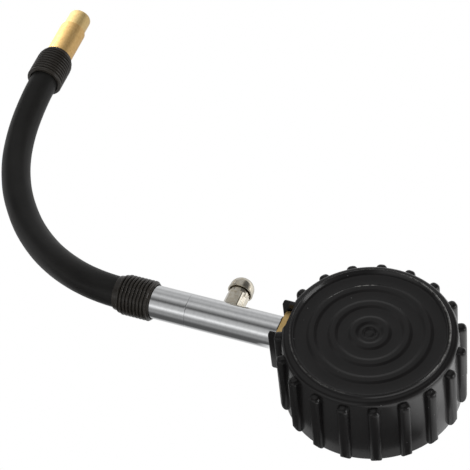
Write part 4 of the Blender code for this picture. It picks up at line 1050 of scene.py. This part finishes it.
def make_button():
    section = [(0.0, 16.6), (1.0, 16.6), (1.0, 12.0), (2.3, 12.0), (2.3, 18.2), (4.25, 18.2), (4.85, 17.2)]
    section += [(4.85, 15.0), (5.3, 15.0), (5.42, 15.08), (5.45, 15.25), (5.4, 15.8), (5.3, 16.5)]
    section += [(5.25, 17.2)]
    for step in range(1, 10):
        angle = math.radians(10.0 * step)
        section.append((5.25 * math.cos(angle), 17.2 + 4.6 * math.sin(angle)))
    section[-1] = (0.0, 21.8)
    return smooth(turned("bleed_button", section, 72, VALVE_SPOT, ALONG_Y))


column = make_column()
button = make_button()
paint(NICKEL, column, button)
print("valve faces:", len(column.data.polygons), len(button.data.polygons))

# %% [markdown]
# The chuck is turned brass: a plain body, then a narrower and brighter nose whose open end is pushed over a
# tyre's valve. It gets the small softbox that was left out above. Light linking keeps that one to the brass,
# because the hose beside it would show the lamp as a hard line.

# %% Turn the chuck
def make_chuck_body():
    section = [(2.0, 7.3), (4.3, 7.3), (5.2, 10.4), (4.3, 10.6), (5.2, 13.6), (4.3, 13.9), (4.3, 14.3)]
    section += [(6.4, 14.3), (6.4, 14.6), (6.4, 36.7), (6.4, 37.1), (6.32, 37.35), (6.1, 37.5)]
    section += [(4.7, 37.5), (4.7, 28.0), (2.0, 28.0), (2.0, 7.3)]
    return smooth(turned("chuck_barrel", section, 96, CHUCK_START, CHUCK_AXIS))


def make_chuck_nose():
    section = [(2.0, 28.3), (4.4, 28.3), (4.4, 37.8), (5.55, 37.8), (5.55, 38.1), (5.55, 46.0)]
    section += [(5.55, 46.4), (5.48, 46.9), (5.25, 47.35), (4.9, 47.65), (4.5, 47.8), (4.4, 47.72)]
    section += [(4.3, 47.4), (4.3, 38.3), (3.7, 37.7), (3.7, 31.4), (2.0, 31.4), (2.0, 28.3)]
    return smooth(turned("chuck_nose_piece", section, 96, CHUCK_START, CHUCK_AXIS))


barrel = make_chuck_body()
nose = make_chuck_nose()
paint(CHUCK_BRASS, barrel)
paint(NOSE_BRASS, nose)
lit_by_it = bpy.data.collections.new("lit_by_the_chuck_softbox")
for part in (barrel, nose):
    lit_by_it.objects.link(part)
chuck_lamp = softbox("chuck_softbox", (-0.36, 0.15, 0.13), (-0.207, 0.14, 0.009), 0.12, 0.12, 0.9)
chuck_lamp.light_linking.receiver_collection = lit_by_it
print("chuck turned and lit")

# %% [markdown]
# On the front, a bright bezel holds a plastic lens over a white dial. Both are turned from their sections. The
# bezel's inner edge hooks over the lens, as a pressed ring does.

# %% Bezel and lens
def make_bezel():
    section = [(28.6, 2.3), (31.4, 2.3), (31.6, 2.5), (31.6, 3.3), (30.3, 3.3), (30.3, 8.0), (29.3, 8.0)]
    section += [(29.3, 3.3), (28.2, 3.3), (28.2, 2.9), (28.32, 2.5), (28.6, 2.3)]
    return smooth(turned("bright_bezel", section, 160))


def make_lens():
    section = [(0.0, 3.6), (28.7, 3.6), (29.0, 3.9), (29.0, 4.9), (28.7, 5.2), (0.0, 5.2)]
    return smooth(turned("clear_window", section, 128))


bezel = make_bezel()
window = make_lens()
paint(BEZEL_METAL, bezel)
paint(CLEAR_LENS, window)
print("bezel and lens turned")

# %% [markdown]
# The scale runs through three quarters of a turn, from nought at the lower left to 60 at the lower right. It is
# raised print, 0.06 mm thick, so that it stays a real shape in the exported meshes. A tick is a thin bar, whose
# length follows its value. The arc is a small section that is spun, and the numbers are text turned to mesh.

# %% Dial print
DIAL_Z = 8.0
PRINT_T = 0.06
PRINT_BACK_Z = DIAL_Z - 0.005
ZERO_DEG = -135.0
SWEEP_DEG = 270.0
FULL_SCALE = 60
SCALE_R = 25.0
NUMBER_R = 18.6


def facing(value):
    """Where the pointer stands for a value."""
    return math.radians(ZERO_DEG + SWEEP_DEG * value / FULL_SCALE)


def make_tick(value):
    """One bar of the scale: long at each ten, middling at each five, short between."""
    if value % 10 == 0:
        length, width = 3.6, 0.55
    elif value % 5 == 0:
        length, width = 2.6, 0.4
    else:
        length, width = 1.7, 0.22
    tick = box_tool("tick", (SCALE_R - length, -width / 2, DIAL_Z - PRINT_T),
                    (SCALE_R, width / 2, PRINT_BACK_Z))
    tick.matrix_world = Matrix.Rotation(facing(value), 4, "Z")
    bpy.ops.object.transform_apply(location=True, rotation=True, scale=True)
    return tick


def make_number(value):
    """A number that stands upright for someone who reads the dial from the front."""
    start_clean()
    bpy.ops.object.text_add(location=(0.0, 0.0, 0.0))
    text = bpy.context.object
    text.data.body = str(value)
    text.data.align_x = "CENTER"
    text.data.align_y = "CENTER"
    text.data.size = 4.4 * MM
    text.data.extrude = PRINT_T / 2 * MM
    text.data.resolution_u = 3
    bpy.ops.object.convert(target="MESH")
    upright = Matrix(((0.0, 1.0, 0.0), (1.0, 0.0, 0.0), (0.0, 0.0, -1.0))).to_4x4()
    across, up = math.cos(facing(value)), math.sin(facing(value))
    spot = Vector((NUMBER_R * across, NUMBER_R * up, PRINT_BACK_Z - PRINT_T / 2)) * MM
    text.matrix_world = Matrix.Translation(spot) @ upright
    bpy.ops.object.transform_apply(location=True, rotation=True, scale=True)
    return text


def make_print():
    parts = [make_tick(value) for value in range(FULL_SCALE + 1)]
    parts += [make_number(value) for value in range(0, FULL_SCALE + 1, 10)]
    outer_r = SCALE_R + 0.3
    section = [(SCALE_R, PRINT_BACK_Z), (outer_r, PRINT_BACK_Z), (outer_r, DIAL_Z - PRINT_T)]
    section += [(SCALE_R, DIAL_Z - PRINT_T), (SCALE_R, PRINT_BACK_Z)]
    arc = draw_section("dial_scale", section, ZERO_DEG)
    bpy.ops.mesh.edge_face_add()
    bpy.ops.mesh.select_all(action="SELECT")
    spin_section(90, math.radians(SWEEP_DEG))
    return joined(arc, parts)


dial_scale = make_print()
paint(PRINT_BLACK, dial_scale)
print("dial print faces:", len(dial_scale.data.polygons))

# %% [markdown]
# The other solids keep their shape and get a finish. They lie inside the case or show only an edge, so the
# measured solid is fine enough.

# %% Finish the solids that stay
KEPT = {
    STEEL: ("case_cup", "dial_screw_1", "dial_screw_2", "movement_screw_1", "movement_screw_2",
            "pinion_arbor"),
    WORKS_BRASS: ("stop_pin", "front_plate", "back_plate", "pillar_1", "pillar_2", "pillar_3", "sector_gear",
                  "hairspring_collet", "hairspring_stud", "link", "tube_tip", "valve_stem", "depressor_pin"),
    BLOCK_BRASS: ("socket_block",),
    BRONZE: ("hairspring", "bourdon_tube", "valve_spring"),
    DIAL_WHITE: ("dial_plate",),
    POINTER_BLACK: ("pointer",),
    SEAL_RUBBER: ("lens_gasket", "valve_seal", "chuck_seal"),
}

for finish, names in KEPT.items():
    paint(finish, *(nodes[name] for name in names))
print("solids finished:", sum(len(names) for names in KEPT.values()))

# %% [markdown]
# Each new piece says which solid it stands for, which body carries it and which finish it shows.

# %% Hang every piece on its body
PLACES = (
    (boot, "housing", "black_rubber", ("boot",)),
    (near_sleeve, "housing", "black_rubber", ("near_sleeve",)),
    (far_sleeve, "housing", "black_rubber", ("far_sleeve",)),
    (hose, "housing", "black_rubber", ("hose",)),
    (stem, "housing", "polished_metal", ("stem_tube",)),
    (coupling, "housing", "polished_metal", ("hose_coupling",)),
    (column, "housing", "nickel_plate", ("valve_body",)),
    (button, "bleed_button", "nickel_plate", ("valve_button",)),
    (barrel, "housing", "brass", ("chuck_body",)),
    (nose, "housing", "brass", ("chuck_nose",)),
    (bezel, "housing", "polished_metal", ("bezel_ring",)),
    (window, "housing", "clear_lens", ("lens",)),
    (dial_scale, "housing", "pointer_black", ()),
)
for piece, body, slot, solids in PLACES:
    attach(piece, body)
    if solids:
        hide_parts(*solids)
print("pieces placed:", len(PLACES))

# %% [markdown]
# Last, the script says that the gauge is dressed.

# %% Finish
print("gauge dressed")
